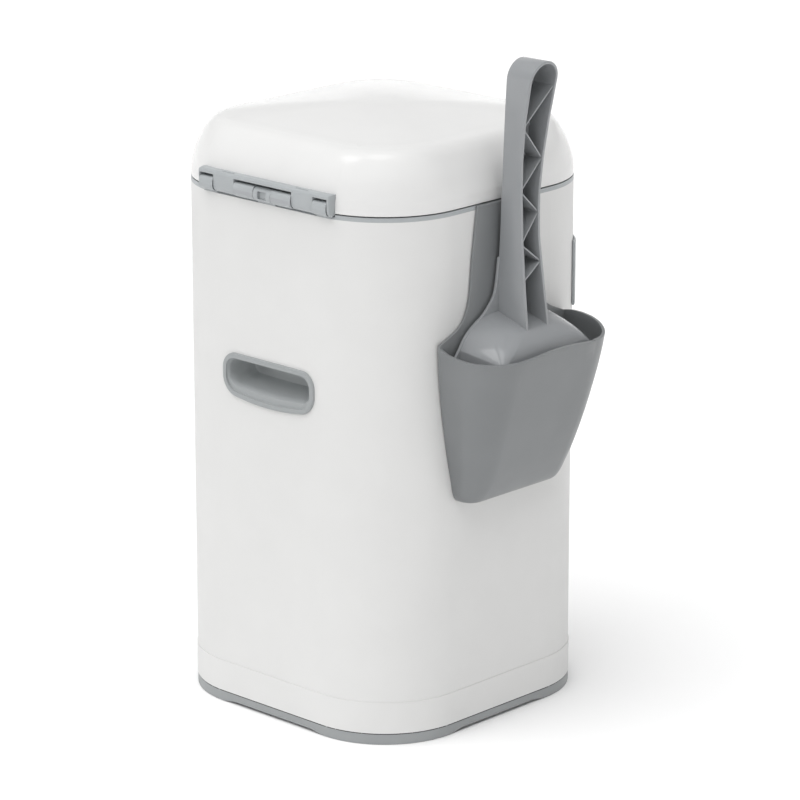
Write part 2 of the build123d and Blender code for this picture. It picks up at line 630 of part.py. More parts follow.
CUTTER_BACK = -CUTTER_FRONT + CUTTER_L
BLADE_LOW = HOUSING_FLOOR - (CUTTER_H + BLADE_H) / 2

with BuildPart() as cutter_body:
    block(*both(CUTTER_HALF), -CUTTER_FRONT, CUTTER_BACK, HOUSING_FLOOR - CUTTER_H, HOUSING_FLOOR)
    with BuildSketch(Plane.XY.offset(HOUSING_FLOOR - CUTTER_H)):
        with BuildLine():
            Polyline((-CUTTER_SLOT, CUTTER_BACK), (0, CUTTER_BACK - CUTTER_L + CUTTER_SLOT),
                     (CUTTER_SLOT, CUTTER_BACK), (-CUTTER_SLOT, CUTTER_BACK))
        make_face()
    extrude(amount=CUTTER_H, mode=Mode.SUBTRACT)
    block(*both(BLADE_T / 2), -CUTTER_FRONT + LIP_T, CUTTER_BACK,
          BLADE_LOW, BLADE_LOW + BLADE_H, Mode.SUBTRACT)
save(cutter_body, "cutter_body")

with BuildPart() as cutter_blade:
    block(*both(BLADE_T / 2), -CUTTER_FRONT + LIP_T, CUTTER_BACK - LIP_T, BLADE_LOW, BLADE_LOW + BLADE_H)
save(cutter_blade, "cutter_blade")


# ---------------------------------------------------------------- gate, handle and springs

LUG_IN = GROOVE_X - GROOVE_W / 2 + FIT
LUG_OUT = GROOVE_X + GROOVE_W / 2 - FIT
BOSS_Y = -NECK_FRONT + HANDLE_BOSS_L / 2
HANDLE_SCREWS = [(x, BOSS_Y) for x in both(HANDLE_SCREW_X)]

with BuildPart() as gate_plate:
    block(*both(GATE_HALF), -HOUSING_FRONT, GATE_BACK, GATE_LOW, GATE_HIGH)
    block(*both(NECK_HALF), -NECK_FRONT, -HOUSING_FRONT, GATE_LOW, GATE_HIGH)
    for x in (-1, 1):
        lug = sorted((x * LUG_IN, x * LUG_OUT))
        root = sorted((x * LUG_IN, x * GATE_HALF))
        block(*lug, GATE_BACK - LUG_L, GATE_BACK, GROOVE_LOW + FIT, CHANNEL_LOW - FIT)
        block(*root, GATE_BACK - LUG_L, GATE_BACK, CHANNEL_LOW - FIT, GATE_LOW)
    for at in HANDLE_SCREWS:
        disc(SHANK_R + SCREW_RUN, GATE_LOW, GATE_HIGH, at, Mode.SUBTRACT)
save(gate_plate, "gate_plate")

with BuildPart() as gate_seal:
    block(*both(GATE_HALF), GATE_BACK, GATE_BACK + SEAL_L, GATE_LOW, GATE_HIGH)
save(gate_seal, "gate_seal")


def round_corner(angle, out):
    """A point on the front left corner, out from the casing's face, angle degrees from the side."""
    reach = BODY_R + out
    return (-FLAT_HALF - reach * cos(radians(angle)), -FLAT_HALF - reach * sin(radians(angle)))


def handle_face(end_out, inset):
    """The handle's face or back seen from above, from one end to the other."""
    half = [round_corner(angle, end_out) for angle in HANDLE_ARC]
    half += [(-x, -BODY_HALF - out + inset) for x, out in HANDLE_BEND]
    return half + [(0, -BODY_HALF - HANDLE_OUT + inset)] + [(-x, y) for x, y in reversed(half)]


with BuildPart() as pull_handle:
    with BuildSketch(Plane.XY.offset(HANDLE_LOW)):
        with BuildLine():
            face = Spline(*handle_face(HANDLE_END_OUT, 0))
            back = Spline(*handle_face(HANDLE_END_GAP, HANDLE_T))
            Line(face @ 0, back @ 0)
            Line(face @ 1, back @ 1)
        make_face()
    extrude(amount=HANDLE_HIGH - HANDLE_LOW)
    rims = pull_handle.edges().filter_by(GeomType.BSPLINE)
    chamfer(rims.group_by(Axis.Z)[-1].sort_by(Axis.Y)[0], HANDLE_WEDGE_T)
    fillet(rims.group_by(Axis.Z)[0].sort_by(Axis.Y)[0], HANDLE_ROUND)
    block(*both(HANDLE_BOSS_HALF), -BODY_HALF - HANDLE_OUT + HANDLE_T / 2, -NECK_FRONT + HANDLE_BOSS_L,
          GATE_HIGH, GATE_HIGH + HANDLE_BOSS_H)
    block(*both(NECK_HALF + FIT), -NECK_FRONT - FIT, -BODY_HALF, GATE_LOW - FIT, GATE_HIGH, Mode.SUBTRACT)
    for at in HANDLE_SCREWS:
        disc(SHANK_R + SCREW_RUN, GATE_HIGH, GATE_HIGH + HANDLE_BOSS_H - LIP_T / 2, at, Mode.SUBTRACT)
save(pull_handle, "pull_handle")

with BuildPart() as handle_screws:
    for x, y in HANDLE_SCREWS:
        screw((x, y, GATE_LOW), (0, 0, -1), GATE_T + HANDLE_BOSS_H - LIP_T)
save(handle_screws, "handle_screws")

SPRING_L = GATE_BACK - LUG_L - SPRING_FRONT - 2 * SPRING_WIRE

with BuildPart() as return_springs:
    for x in both(GROOVE_X):
        with BuildLine() as coil:
            Helix(SPRING_L / SPRING_TURNS, SPRING_L, SPRING_R,
                  center=(x, SPRING_FRONT + SPRING_WIRE, CHANNEL_LOW - GROOVE_H / 2), direction=(0, 1, 0))
        with BuildSketch(Plane(origin=coil.line @ 0, z_dir=coil.line % 0)) as wire:
            Circle(SPRING_WIRE)
        sweep(sections=wire.sketch, path=coil.line, is_frenet=True)
save(return_springs, "return_springs")


# ---------------------------------------------------------------- scoop holder

HOLDER_BACK = BODY_HALF + HOLDER_GAP


def pocket_solid(skin):
    """The pocket's outside moved inwards by skin, mirrored through the wall."""
    levels = []
    for height, half, depth, radius in POCKET:
        low = height + skin if height < POCKET_ROUND else height
        with BuildSketch(Plane.XY.offset(low)) as level:
            with Locations((-BODY_HALF, 0)):
                RectangleRounded(2 * (depth - skin), 2 * (half - skin), radius - skin)
        levels.append(level.sketch)
    loft(levels, ruled=True)


with BuildPart() as pocket_outside:
    pocket_solid(0)

with BuildPart() as pocket_inside:
    pocket_solid(HOLDER_T)

with BuildPart() as scoop_holder:
    add(pocket_outside.part)
    with BuildSketch(BACK.offset(-POCKET_SIDE)):
        with BuildLine():
            rim = Spline(*[(BODY_HALF + out, height) for out, height in POCKET_CUT])
            Polyline(rim @ 1, (BODY_HALF + POCKET_SIDE, COLLAR_TOP), (0, COLLAR_TOP),
                     (0, POCKET_CUT[0][1]), rim @ 0)
        make_face()
    extrude(amount=2 * POCKET_SIDE, mode=Mode.SUBTRACT)
    block(-BODY_HALF, 0, *both(POCKET_SIDE), 0, COLLAR_TOP, Mode.SUBTRACT)
    add(pocket_inside.part, mode=Mode.SUBTRACT)
    with BuildSketch(SIDE.offset(HOLDER_BACK)):
        with BuildLine():
            strap = Spline(*STRAP)
            side = Spline(*HOLDER_SIDE)
            Line(strap @ 1, side @ 0)
            Polyline(side @ 1, *HOLDER_LOW, (0, HOLDER_LOW[-1][1]), (0, STRAP[0][1]), strap @ 0)
        make_face()
        mirror(about=Plane.YZ)
    extrude(amount=HOLDER_T)
    block(-BODY_HALF - HOLDER_GAP, 0, *both(POCKET_SIDE), 0, COLLAR_TOP, Mode.SUBTRACT)
    # hook over the collar
    block(-HOLDER_BACK, HOOK_END, *both(HOOK_HALF), COLLAR_TOP - HOOK_T, COLLAR_TOP)
    block(HOOK_END - HOOK_T, HOOK_END, *both(HOOK_HALF), COLLAR_TOP - HOOK_DROP, COLLAR_TOP)
save(scoop_holder, "scoop_holder")


# ---------------------------------------------------------------- scoop

def pan_section(height, half, front, depth, radius):
    """A level section of the pan: wide at its open side, rounded at its front corners."""
    with BuildSketch(Plane.XY.offset(height)) as level:
        with BuildLine():
            Polyline((-PAN_BACK, half), (-PAN_BACK - depth, front),
                     (-PAN_BACK - depth, -front), (-PAN_BACK, -half), close=True)
        make_face()
        fillet(level.vertices().group_by(Axis.X)[0], radius)
    return level.sketch


def handle_outline(inset):
    """The handle seen from the side, moved inwards by inset."""
    with BuildSketch(SIDE.offset(PAN_BACK - PAN_T)) as outline:
        with BuildLine():
            side = Spline(*[(half - inset, height) for half, height in HANDLE_SIDE])
            RadiusArc(side @ 1, (0, HANDLE_TOP - inset), -HANDLE_SIDE[-1][0] + inset)
            Polyline((0, HANDLE_TOP - inset), (0, HANDLE_SIDE[0][1]), side @ 0)
        make_face()
        mirror(about=Plane.YZ)
    return outline.sketch


def handle_profile(front_in, rear_in):
    """The handle seen along the wall, its front and rear edges moved inwards."""
    with BuildSketch(BACK.offset(-HANDLE_SPAN)) as outline:
        with BuildLine():
            outer = Spline(*[(BODY_HALF + out - front_in, height) for out, height in HANDLE_FRONT])
            inner = Spline(*[(BODY_HALF + out + rear_in, height) for out, height in HANDLE_REAR])
            Line(outer @ 0, inner @ 0)
            Line(outer @ 1, inner @ 1)
        make_face()
    return outline.sketch


with BuildPart() as pan_hollow:
    cores = [pan_section(PAN[0][0] - 1, *(value - PAN_T for value in PAN[0][1:4]), PAN_TIP_R)]
    for height, half, front, depth, radius in PAN[1:-1]:
        under = PAN_T if height > PAN_HEEL else 0
        cores.append(pan_section(height - under, half - PAN_T, front - PAN_T, depth - PAN_T, radius - PAN_T))
    loft(cores, ruled=True)

with BuildPart() as handle_hollow:
    extrude(handle_outline(FLANGE_T), amount=HANDLE_SPAN * 2)
    extrude(handle_profile(-HANDLE_SPAN, WEB_T), amount=2 * HANDLE_SPAN, mode=Mode.INTERSECT)
    block(-PAN_BACK - 2 * HANDLE_SPAN, 0, *both(HANDLE_SPAN), 0, HANDLE_HOLLOW_LOW, Mode.SUBTRACT)

with BuildPart() as handle_ribs:
    with BuildSketch(SIDE.offset(PAN_BACK)):
        with BuildLine():
            ends = [(x, z) for pair in zip(RIB_FAR, RIB_NEAR) for x, z in zip((RIB_REACH, -RIB_REACH), pair)]
            zigzag = Polyline(*ends)
        trace(zigzag, RIB_T)
    extrude(amount=HANDLE_SPAN * 2)
    extrude(handle_profile(RIB_RECESS, 0), amount=2 * HANDLE_SPAN, mode=Mode.INTERSECT)
    extrude(handle_outline(0), amount=HANDLE_SPAN * 2, mode=Mode.INTERSECT)

with BuildPart() as handle_bar:
    extrude(handle_outline(0), amount=HANDLE_SPAN * 2)
    extrude(handle_profile(0, 0), amount=2 * HANDLE_SPAN, mode=Mode.INTERSECT)

with BuildPart() as scoop:
    loft([pan_section(*level) for level in PAN], ruled=True)
    add(pan_hollow.part, mode=Mode.SUBTRACT)
    for index in range(SLOTS):
        middle = (index / (SLOTS - 1) - 1 / 2) * SLOT_SPAN
        block(-PAN_BACK - HANDLE_SPAN * 2, -PAN_BACK, middle - SLOT_W / 2, middle + SLOT_W / 2,
              SLOT_LOW, SLOT_HIGH, Mode.SUBTRACT)
    with BuildSketch(SIDE.offset(PAN_BACK)):
        with BuildLine():
            edge = Spline(*FIN)
            Polyline(edge @ 1, (0, FIN[-1][1]), (0, FIN[0][1]), edge @ 0)
        make_face()
        mirror(about=Plane.YZ)
    extrude(amount=FIN_T)
    add(handle_bar.part)
    add(handle_hollow.part, mode=Mode.SUBTRACT)
    add(handle_ribs.part)
save(scoop, "scoop")
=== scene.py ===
"""Looks of the litter disposal pail: its smooth mouldings, finishes, light and camera.

Sizes in the tables are millimetres in the pail's own frame; meshes are in metres.
The front is -Y, the hinge is at the back and the scoop hangs on the -X side.
"""

import json
from math import cos, pi, radians, sin

import bmesh
import bpy
from mathutils import Matrix, Vector


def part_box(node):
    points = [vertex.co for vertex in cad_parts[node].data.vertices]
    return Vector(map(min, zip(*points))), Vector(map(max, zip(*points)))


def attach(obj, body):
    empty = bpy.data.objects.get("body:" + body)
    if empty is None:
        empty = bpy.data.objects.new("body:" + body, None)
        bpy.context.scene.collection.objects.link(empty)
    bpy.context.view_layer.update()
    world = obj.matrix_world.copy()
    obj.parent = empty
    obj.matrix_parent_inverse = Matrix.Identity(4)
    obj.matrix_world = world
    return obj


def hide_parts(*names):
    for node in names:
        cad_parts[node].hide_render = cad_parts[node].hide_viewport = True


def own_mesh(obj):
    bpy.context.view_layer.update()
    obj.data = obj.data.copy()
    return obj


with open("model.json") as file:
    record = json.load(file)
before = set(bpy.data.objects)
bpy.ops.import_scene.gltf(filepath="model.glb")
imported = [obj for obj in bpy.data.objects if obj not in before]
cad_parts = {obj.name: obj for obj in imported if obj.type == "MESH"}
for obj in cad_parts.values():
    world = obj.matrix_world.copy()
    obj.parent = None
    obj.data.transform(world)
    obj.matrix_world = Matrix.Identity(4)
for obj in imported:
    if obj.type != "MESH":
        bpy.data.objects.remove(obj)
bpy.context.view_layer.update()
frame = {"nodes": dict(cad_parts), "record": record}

MM = 0.001
IN_A_METRE = 1000
X, Z = 0, 2  # axes of a vertex's place
CORNER_STEPS = 14
CURVE_STEPS = 6
LEVEL_STEPS = 3

# Lid
BODY_HALF = 114.5
BODY_R = 64.0
LID_LOW = 381.4
LID_SIDE = [  # (height over the lid's lower edge, inset from the body's face)
    (0.0, 0.0), (5.2, 0.1), (10.4, 0.7), (22.9, 4.6), (33.3, 10.2), (38.6, 14.4), (41.2, 18.2),
    (42.6, 22.6),
]
DOME_LOW = 41.6
DOME_IN = 18.4
DOME_RISE = 8.5
DOME_SHARES = (0.9, 0.84, 0.76, 0.67, 0.57, 0.46, 0.35, 0.24, 0.13, 0.04)
LID_WALL = 2.6
LID_WINDOW_HALF = 63.9
LID_WINDOW_TOP = 392.6  # the lid's wall is open up to here, behind the hinge bar
LIP_HALF = 22.0
LIP_OUT = 4.0
LIP_TALL = 4.0
LIP_CORNER = 3.5

# Return springs
SPRING_WIRE = 0.4
SPRING_TURNS = 16
SPRING_STEPS = 12

# Scoop holder
WALL_X = -114.7
HOLDER_T = 2.2
HOLDER_TOP = 380.4
STRAP = [  # (half width, height), downwards
    (27.6, 380.4), (30.8, 357.0), (32.7, 342.0), (34.6, 322.0), (36.6, 312.0), (40.6, 303.0),
    (46.6, 297.0), (54.6, 293.0), (65.5, 288.5),
]
HOLDER_SIDE = [
    (65.6, 284.0), (64.6, 271.0), (62.5, 249.0), (59.4, 227.0), (55.2, 204.5), (51.0, 185.0),
    (48.4, 176.5),
]
HOLDER_FOOT = [(45.6, 173.0), (42.0, 171.8)]
POCKET = [  # (height, half width at the wall, depth, corner radius)
    (171.6, 41.0, 9.6, 6.0), (172.0, 43.6, 12.2, 8.0), (173.2, 46.4, 14.8, 10.4),
    (176.0, 48.6, 17.9, 12.8), (181.0, 50.2, 21.3, 15.0), (187.0, 51.4, 24.5, 16.8),
    (197.0, 53.7, 29.0, 18.8), (210.0, 56.3, 33.8, 20.8), (225.0, 59.0, 38.7, 22.6),
    (240.0, 61.3, 43.1, 24.2), (256.0, 63.3, 47.5, 25.6), (272.0, 64.7, 51.5, 26.8),
    (283.0, 65.4, 53.7, 27.6),
]
RIM_FROM = 270.0  # the rim's wave starts above this height
RIM_TOP = 283.0
RIM_NEAR = [  # (distance from the wall, height), on the side towards the hinge
    (0.0, 288.2), (4.3, 285.1), (9.0, 283.4), (15.4, 282.3), (22.9, 281.7), (30.0, 281.4),
    (60.0, 281.1),
]
RIM_AWAY = [  # the same on the side towards the pail's front
    (0.0, 288.8), (5.0, 289.8), (10.0, 290.4), (18.0, 290.2), (26.0, 289.0), (34.0, 287.0),
    (41.0, 284.9), (47.0, 283.2), (52.0, 282.1), (56.0, 281.6), (60.0, 281.3),
]
RIM_FRONT = [  # (y, height), between the pocket's corners
    (-38.0, 281.4), (-29.0, 281.8), (-18.0, 282.8), (-6.0, 283.4), (8.0, 283.0), (20.0, 282.0),
    (30.0, 281.4), (38.0, 281.1),
]
RIM_CORNER = 38.0
RIM_SCORES = [out for out, height in RIM_NEAR[1:-1] + RIM_AWAY[1:4]]
HOOK_HALF = 20.0
HOOK_T = 2.0
HOOK_DROP = 8.0
HOOK_END = -109.2

# Carrying grip
GRIP = [  # (half width, top, bottom at the sides, corner radius, how far back)
    (44.8, 265.0, 235.7, 12.0, 114.3), (44.75, 264.95, 235.75, 11.9, 115.5),
    (44.4, 264.6, 236.1, 11.5, 116.2), (43.7, 263.9, 236.8, 10.8, 116.5),
    (42.4, 262.6, 238.1, 9.6, 116.5), (41.2, 261.4, 239.3, 8.5, 116.5),
    (41.0, 261.2, 239.7, 8.3, 115.1), (40.4, 260.6, 242.6, 7.7, 114.4),
    (40.0, 260.1, 243.4, 7.3, 113.2), (39.8, 259.8, 243.9, 7.0, 110.0),
    (39.4, 259.2, 244.6, 6.7, 104.0), (38.9, 258.5, 245.3, 6.3, 95.0),
    (37.6, 257.0, 246.6, 5.4, 91.6), (35.0, 254.6, 249.0, 2.6, 90.2),
]
GRIP_SMILE = 5.0  # how far the lower side sags in its middle
GRIP_SAG_RISE = 2.6  # how quickly the sag sets in below the grip's middle
GRIP_SCORES = 12
GRIP_WALL = 1.8
GRIP_ON_BACK = Matrix(((-1, 0, 0), (0, 0, 1), (0, 1, 0)))  # its levels are drawn lying flat

# Hinge bar and knuckles, as (y, height) sections
BAR_END = 63.6
BAR_SIDE = [
    (107.0, 394.6), (107.0, 389.9), (110.1, 389.9), (110.1, 384.2), (110.8, 381.6),
    (112.7, 379.7), (115.3, 379.0), (117.4, 379.7), (119.0, 381.6), (119.5, 384.2),
]
BAR_ROUND = [(119.5, 392.6), (119.3, 393.5), (118.8, 394.2), (117.8, 394.6)]
BAR_OUTER = 112.0  # the bar's ends are rounded behind this
BAR_CORNER = 1.3
KNUCKLE_SIDE = [
    (111.0, 389.4), (111.0, 380.6), (112.7, 379.7), (115.3, 379.0), (117.9, 379.5),
    (119.7, 381.0), (120.4, 383.2), (120.45, 386.2), (120.2, 388.0), (119.3, 389.1),
    (117.8, 389.5),
]
FIXED_KNUCKLES = [(-61.8, -48.7), (48.7, 61.8)]
UNIT_KNUCKLES = [(-27.9, -8.6), (8.6, 27.9)]
BAR_WINDOWS = [(-62.1, -48.4), (-28.2, 28.2), (48.4, 62.1)]
BAR_WINDOW_Y = (105.0, 125.0)
BAR_WINDOW_Z = (370.0, 391.6)
BAR_SLOTS = [(-42.0, -30.0), (30.0, 42.0)]
BAR_SLOT_Y = (115.8, 117.3)
BAR_SLOT_Z = (393.0, 400.0)

# Base
BASE_FACE = 114.72
BASE_SEAM = 7.7
BASE_TOP = 8.4
BASE_WALL = 1.2
BASE_LEVELS = [  # (height, inset)
    (0.05, 0.5), (0.6, 0.0), (BASE_SEAM - 0.3, 0.0), (BASE_SEAM, 0.3), (BASE_SEAM, 1.6),
]
# A dark strip at the seam: painted shade for the gap between the base and the skirt.
SHADE_STRIP_IN = 0.15
SHADE_STRIP_LOW = BASE_SEAM - 0.2
SHADE_STRIP_WALL = 0.6
ARCH_RISE = 1.9
ARCH_END = 52.0
ARCH_RUN = 16.0
ARCH_SCORES = 5

# Scoop
PAN_BACK = -119.2
PAN_T = 2.0
PAN = [  # (height at the open side, half width, front half width, depth, corner radius)
    (174.1, 39.0, 36.0, 4.4, 2.5), (190.0, 42.2, 38.9, 11.6, 5.2),
    (205.0, 45.0, 41.5, 18.4, 7.0), (222.0, 47.2, 43.2, 24.6, 8.2),
    (240.0, 49.0, 44.6, 30.0, 8.4), (256.0, 50.2, 45.6, 34.6, 7.6),
    (268.0, 50.4, 46.2, 37.6, 6.4), (278.0, 50.2, 46.4, 39.2, 5.2),
    (282.6, 49.9, 46.3, 39.7, 4.6), (283.7, 49.7, 46.1, 39.7, 4.5),
    (284.6, 49.2, 45.6, 39.4, 4.7), (286.6, 47.9, 44.3, 38.9, 6.6),
    (290.0, 45.4, 41.6, 37.8, 9.6), (293.7, 41.6, 37.8, 35.8, 13.0),
    (297.2, 36.8, 33.2, 32.6, 15.4), (299.8, 32.6, 29.4, 28.4, 15.4),
    (301.4, 29.6, 26.8, 21.6, 12.6), (302.8, 25.4, 22.8, 13.0, 8.6),
    (303.8, 19.0, 17.0, 6.0, 4.6), (304.4, 11.0, 9.6, 2.0, 1.6),
]
HEEL_FALL = 0.158  # how much the heel falls for each millimetre out from the pail
HEEL_FROM = 262.0
HEEL_FULL = 282.0
FIN = [  # (half width, height), upwards
    (56.0, 262.0), (56.2, 272.0), (54.4, 278.4), (50.0, 284.0), (44.4, 291.4), (38.0, 296.2),
    (30.0, 301.4), (24.4, 305.4), (18.0, 311.8), (13.8, 320.0), (10.4, 342.0),
]
FIN_T = 2.2
HANDLE_SIDE = [  # (half width, height), upwards
    (11.8, 290.0), (10.9, 320.0), (9.7, 357.0), (10.1, 386.0), (11.6, 413.0), (13.2, 441.0),
    (14.1, 468.4),
]
HANDLE_TOP = 482.4
HANDLE_FRONT = [  # (height, x) of the handle's outer face
    (290.0, -149.0), (320.0, -145.2), (357.0, -141.1), (386.0, -140.5), (413.0, -142.2),
    (441.0, -146.0), (476.0, -153.0), (483.0, -154.2),
]
HANDLE_REAR = [  # (height, x) of its face towards the pail
    (290.0, -119.9), (325.0, -119.9), (357.0, -121.0), (386.0, -122.3), (411.0, -124.8),
    (440.0, -127.6), (472.0, -130.2), (483.0, -131.0),
]
CROWN_STEPS = 14
FLANGE_T = 2.1
WEB_T = 2.4
WEB_IN = 0.8
WEB_CROWN = [(12.2, 473.0), (9.5, 477.0), (5.0, 480.2)]
RIB_T = 1.1
RIB_STEPS = 4
RIB_RECESS = 1.2
RIB_FAR = (464.0, 412.0, 374.0, 339.5)
RIB_NEAR = (436.0, 391.0, 353.5, 328.0)
SIFT_SLOTS = 6
SIFT_SPAN = 66.0
SIFT_HALF = 2.5
SIFT_ROUND = 2.4
SIFT_LOW = 196.0
SIFT_HIGH = 250.0
SIFT_REACH = 60.0

# Finishes: how often a pattern repeats in a metre
CLOUDS = 22
PATCHES = 55
FLOW = 16
GRIP_GRAIN = 1700
RUBBER_GRAIN = 1600
DUST = 160
DRAW_LINES = 900
STEEL_PATCHES = 140
FLOOR_CLOUDS = 3
NOISE_LOW = 0.3
NOISE_HIGH = 0.7
GRIP_PAINTED_LIGHT_FROM = 0.1155  # metres back; painted light: the grip's grey is painted paler from here into the cup, palest at the second depth
GRIP_PAINTED_LIGHT_AT = 0.1
REFILL_TO_AXIS = (0, 0.006, 0)

# Studio
FLOOR_HALF = 30000.0
BACKDROP_R = 28000.0
BACKDROP_TALL = 4500.0
ROOM_LIGHT = 0.47
AZIMUTH = radians(223.582)
ELEVATION = radians(16.539)
CAMERA_AT = (-1.8958, 1.9741, 1.0252)
LENS = 178.5
SENSOR = 36.0
FAR_CLIP = 50


# ---------------------------------------------------------------- shaping

def smooth_run(points, steps=CURVE_STEPS):
    """Points of a smooth curve through the given ones."""
    ends = [points[0]] + list(points) + [points[-1]]
    run = []
    for a, b, c, d in zip(ends, ends[1:], ends[2:], ends[3:]):
        for step in range(steps):
            t = step / steps
            run.append(tuple(
                q + t / 2 * (r - p) + t * t * (p - 2.5 * q + 2 * r - s / 2)
                + t ** 3 * (1.5 * (q - r) + (s - p) / 2)
                for p, q, r, s in zip(a, b, c, d)))
    return run + [tuple(points[-1])]


def value_at(table, height):
    """The second column of a table at a height between its rows."""
    for (low, first), (high, second) in zip(table, table[1:]):
        if height <= high:
            return first + (second - first) * max(0, height - low) / (high - low)
    return table[-1][1]


def both_sides(half):
    """A right half of (y, height) points, with its mirror image, as one outline."""
    return [(y, z) for y, z in half] + [(-y, z) for y, z in reversed(half)]


def strip_outline(half, top, drop):
    """The outline of a strip of the hook, from its top down."""
    return [(-half, top), (half, top), (half, top - drop), (-half, top - drop)]


def verts_of(geom):
    """The vertices among what an operator made."""
    return [item for item in geom if isinstance(item, bmesh.types.BMVert)]


def runs_along(edge, axis):
    """Whether an edge runs more than a millimetre along an axis."""
    first, second = edge.verts
    return abs(first.co[axis] - second.co[axis]) > 1


def rounded_loop(bm, half_x, half_y, radius, height, centre_x=0.0):
    """The edges of one level: a rectangle with round corners, in millimetres."""
    corners = bmesh.ops.create_grid(bm, x_segments=1, y_segments=1, size=1)["verts"]
    bmesh.ops.scale(bm, vec=(half_x, half_y, 1), verts=corners)
    bmesh.ops.translate(bm, vec=(centre_x, 0, height), verts=corners)
    made = bmesh.ops.bevel(bm, geom=corners, offset=radius, segments=CORNER_STEPS, profile=0.5,
                           affect="VERTICES", material=-1)
    face = made["verts"][0].link_faces[0]
    edges = list(face.edges)
    bmesh.ops.delete(bm, geom=[face], context="FACES_ONLY")
    return edges


def stack_levels(bm, loops, cap_top=False, cap_bottom=False):
    """Skin a stack of levels, with a lid or a floor on its ends."""
    for low, high in zip(loops, loops[1:]):
        bmesh.ops.bridge_loops(bm, edges=low + high)
    if cap_top:
        bmesh.ops.contextual_create(bm, geom=loops[-1])
    if cap_bottom:
        bmesh.ops.contextual_create(bm, geom=loops[0])
    bmesh.ops.recalc_face_normals(bm, faces=bm.faces)


def add_box(bm, low, high):
    """A box between two corners."""
    verts = bmesh.ops.create_cube(bm, size=1)["verts"]
    bmesh.ops.scale(bm, vec=[end - start for start, end in zip(low, high)], verts=verts)
    bmesh.ops.translate(bm, vec=[(start + end) / 2 for start, end in zip(low, high)], verts=verts)


def score(bm, point, normal, clear=False):
    """Divide every face that a plane crosses, and clear what lies beyond it where asked."""
    everything = list(bm.verts) + list(bm.edges) + list(bm.faces)
    bmesh.ops.bisect_plane(bm, geom=everything, plane_co=point, plane_no=normal, clear_outer=clear)


def face_out(bm, towards):
    """Turn an open skin's faces towards the side from which it is seen."""
    outer = max(bm.faces, key=lambda face: face.calc_center_median().dot(Vector(towards)))
    if outer.normal.dot(Vector(towards)) < 0:
        bmesh.ops.reverse_faces(bm, faces=bm.faces)


def finish_mesh(name, bm, sharp=35, **modifiers):
    """An object from a mesh in millimetres, with its wall and its rounded edges applied."""
    bmesh.ops.scale(bm, vec=(MM, MM, MM), verts=bm.verts)
    mesh = bpy.data.meshes.new(name)
    bm.to_mesh(mesh)
    bm.free()
    piece = bpy.data.objects.new(name, mesh)
    bpy.context.scene.collection.objects.link(piece)
    if "wall" in modifiers:
        solid = piece.modifiers.new("wall", "SOLIDIFY")
        solid.thickness = modifiers["wall"] * MM
        solid.offset = modifiers.get("offset", -1)
        solid.use_even_offset = modifiers.get("even", True)
        solid.use_quality_normals = True
    if "edge" in modifiers:
        round_edges(piece, modifiers["edge"], modifiers.get("edge_angle", 40))
    settle(piece)
    shade_smooth(piece, sharp)
    return piece


def round_edges(piece, width, angle, segments=3):
    """Round a piece's edges that are sharper than an angle."""
    bevel = piece.modifiers.new("edge", "BEVEL")
    bevel.width = width * MM
    bevel.segments = segments
    bevel.limit_method = "ANGLE"
    bevel.angle_limit = radians(angle)
    bevel.harden_normals = False


def settle(piece):
    """Apply a piece's modifiers to its mesh."""
    graph = bpy.context.evaluated_depsgraph_get()
    shaped = bpy.data.meshes.new_from_object(piece.evaluated_get(graph))
    piece.modifiers.clear()
    old = piece.data
    piece.data = shaped
    shaped.name = piece.name
    bpy.data.meshes.remove(old)


def carve(piece, cutter):
    """Cut one piece out of another."""
    cut = piece.modifiers.new("cut", "BOOLEAN")
    cut.object = cutter
    cut.operation = "DIFFERENCE"
    cut.solver = "EXACT"
    settle(piece)
    bpy.data.objects.remove(cutter)


def shade_smooth(piece, sharp):
    """Smooth shading, with edges sharper than an angle left crisp."""
    bm = bmesh.new()
    bm.from_mesh(piece.data)
    for face in bm.faces:
        face.smooth = True
    for edge in bm.edges:
        if len(edge.link_faces) == 2 and edge.calc_face_angle(0) > radians(sharp):
            edge.smooth = False
    bm.to_mesh(piece.data)
    bm.free()


def join_pieces(name, pieces):
    """One object from several."""
    bm = bmesh.new()
    for piece in pieces:
        bm.from_mesh(piece.data)
    mesh = bpy.data.meshes.new(name)
    bm.to_mesh(mesh)
    bm.free()
    for piece in pieces:
        bpy.data.objects.remove(piece)
    joined = bpy.data.objects.new(name, mesh)
    bpy.context.scene.collection.objects.link(joined)
    return joined


def plate(name, outline, back, thickness, edge):
    """A flat plate on the scoop's side: an outline of (y, height) points, thickened outwards."""
    bm = bmesh.new()
    face = bm.faces.new([bm.verts.new((back, y, z)) for y, z in outline])
    lifted = bmesh.ops.extrude_face_region(bm, geom=[face])["geom"]
    bmesh.ops.translate(bm, vec=(-thickness, 0, 0), verts=verts_of(lifted))
    bmesh.ops.recalc_face_normals(bm, faces=bm.faces)
    return finish_mesh(name, bm, edge=edge)


# ---------------------------------------------------------------- lid

def open_lid_window(bm):
    """Clear the lid's wall where the hinge bar stands."""
    score(bm, (-LID_WINDOW_HALF, 0, 0), (1, 0, 0))
    score(bm, (LID_WINDOW_HALF, 0, 0), (1, 0, 0))
    score(bm, (0, 0, LID_WINDOW_TOP), (0, 0, 1))
    window = []
    for face in bm.faces:
        middle = face.calc_center_median()
        if abs(middle.x) < LID_WINDOW_HALF and middle.y > 0 and middle.z < LID_WINDOW_TOP:
            window.append(face)
    bmesh.ops.delete(bm, geom=window, context="FACES")


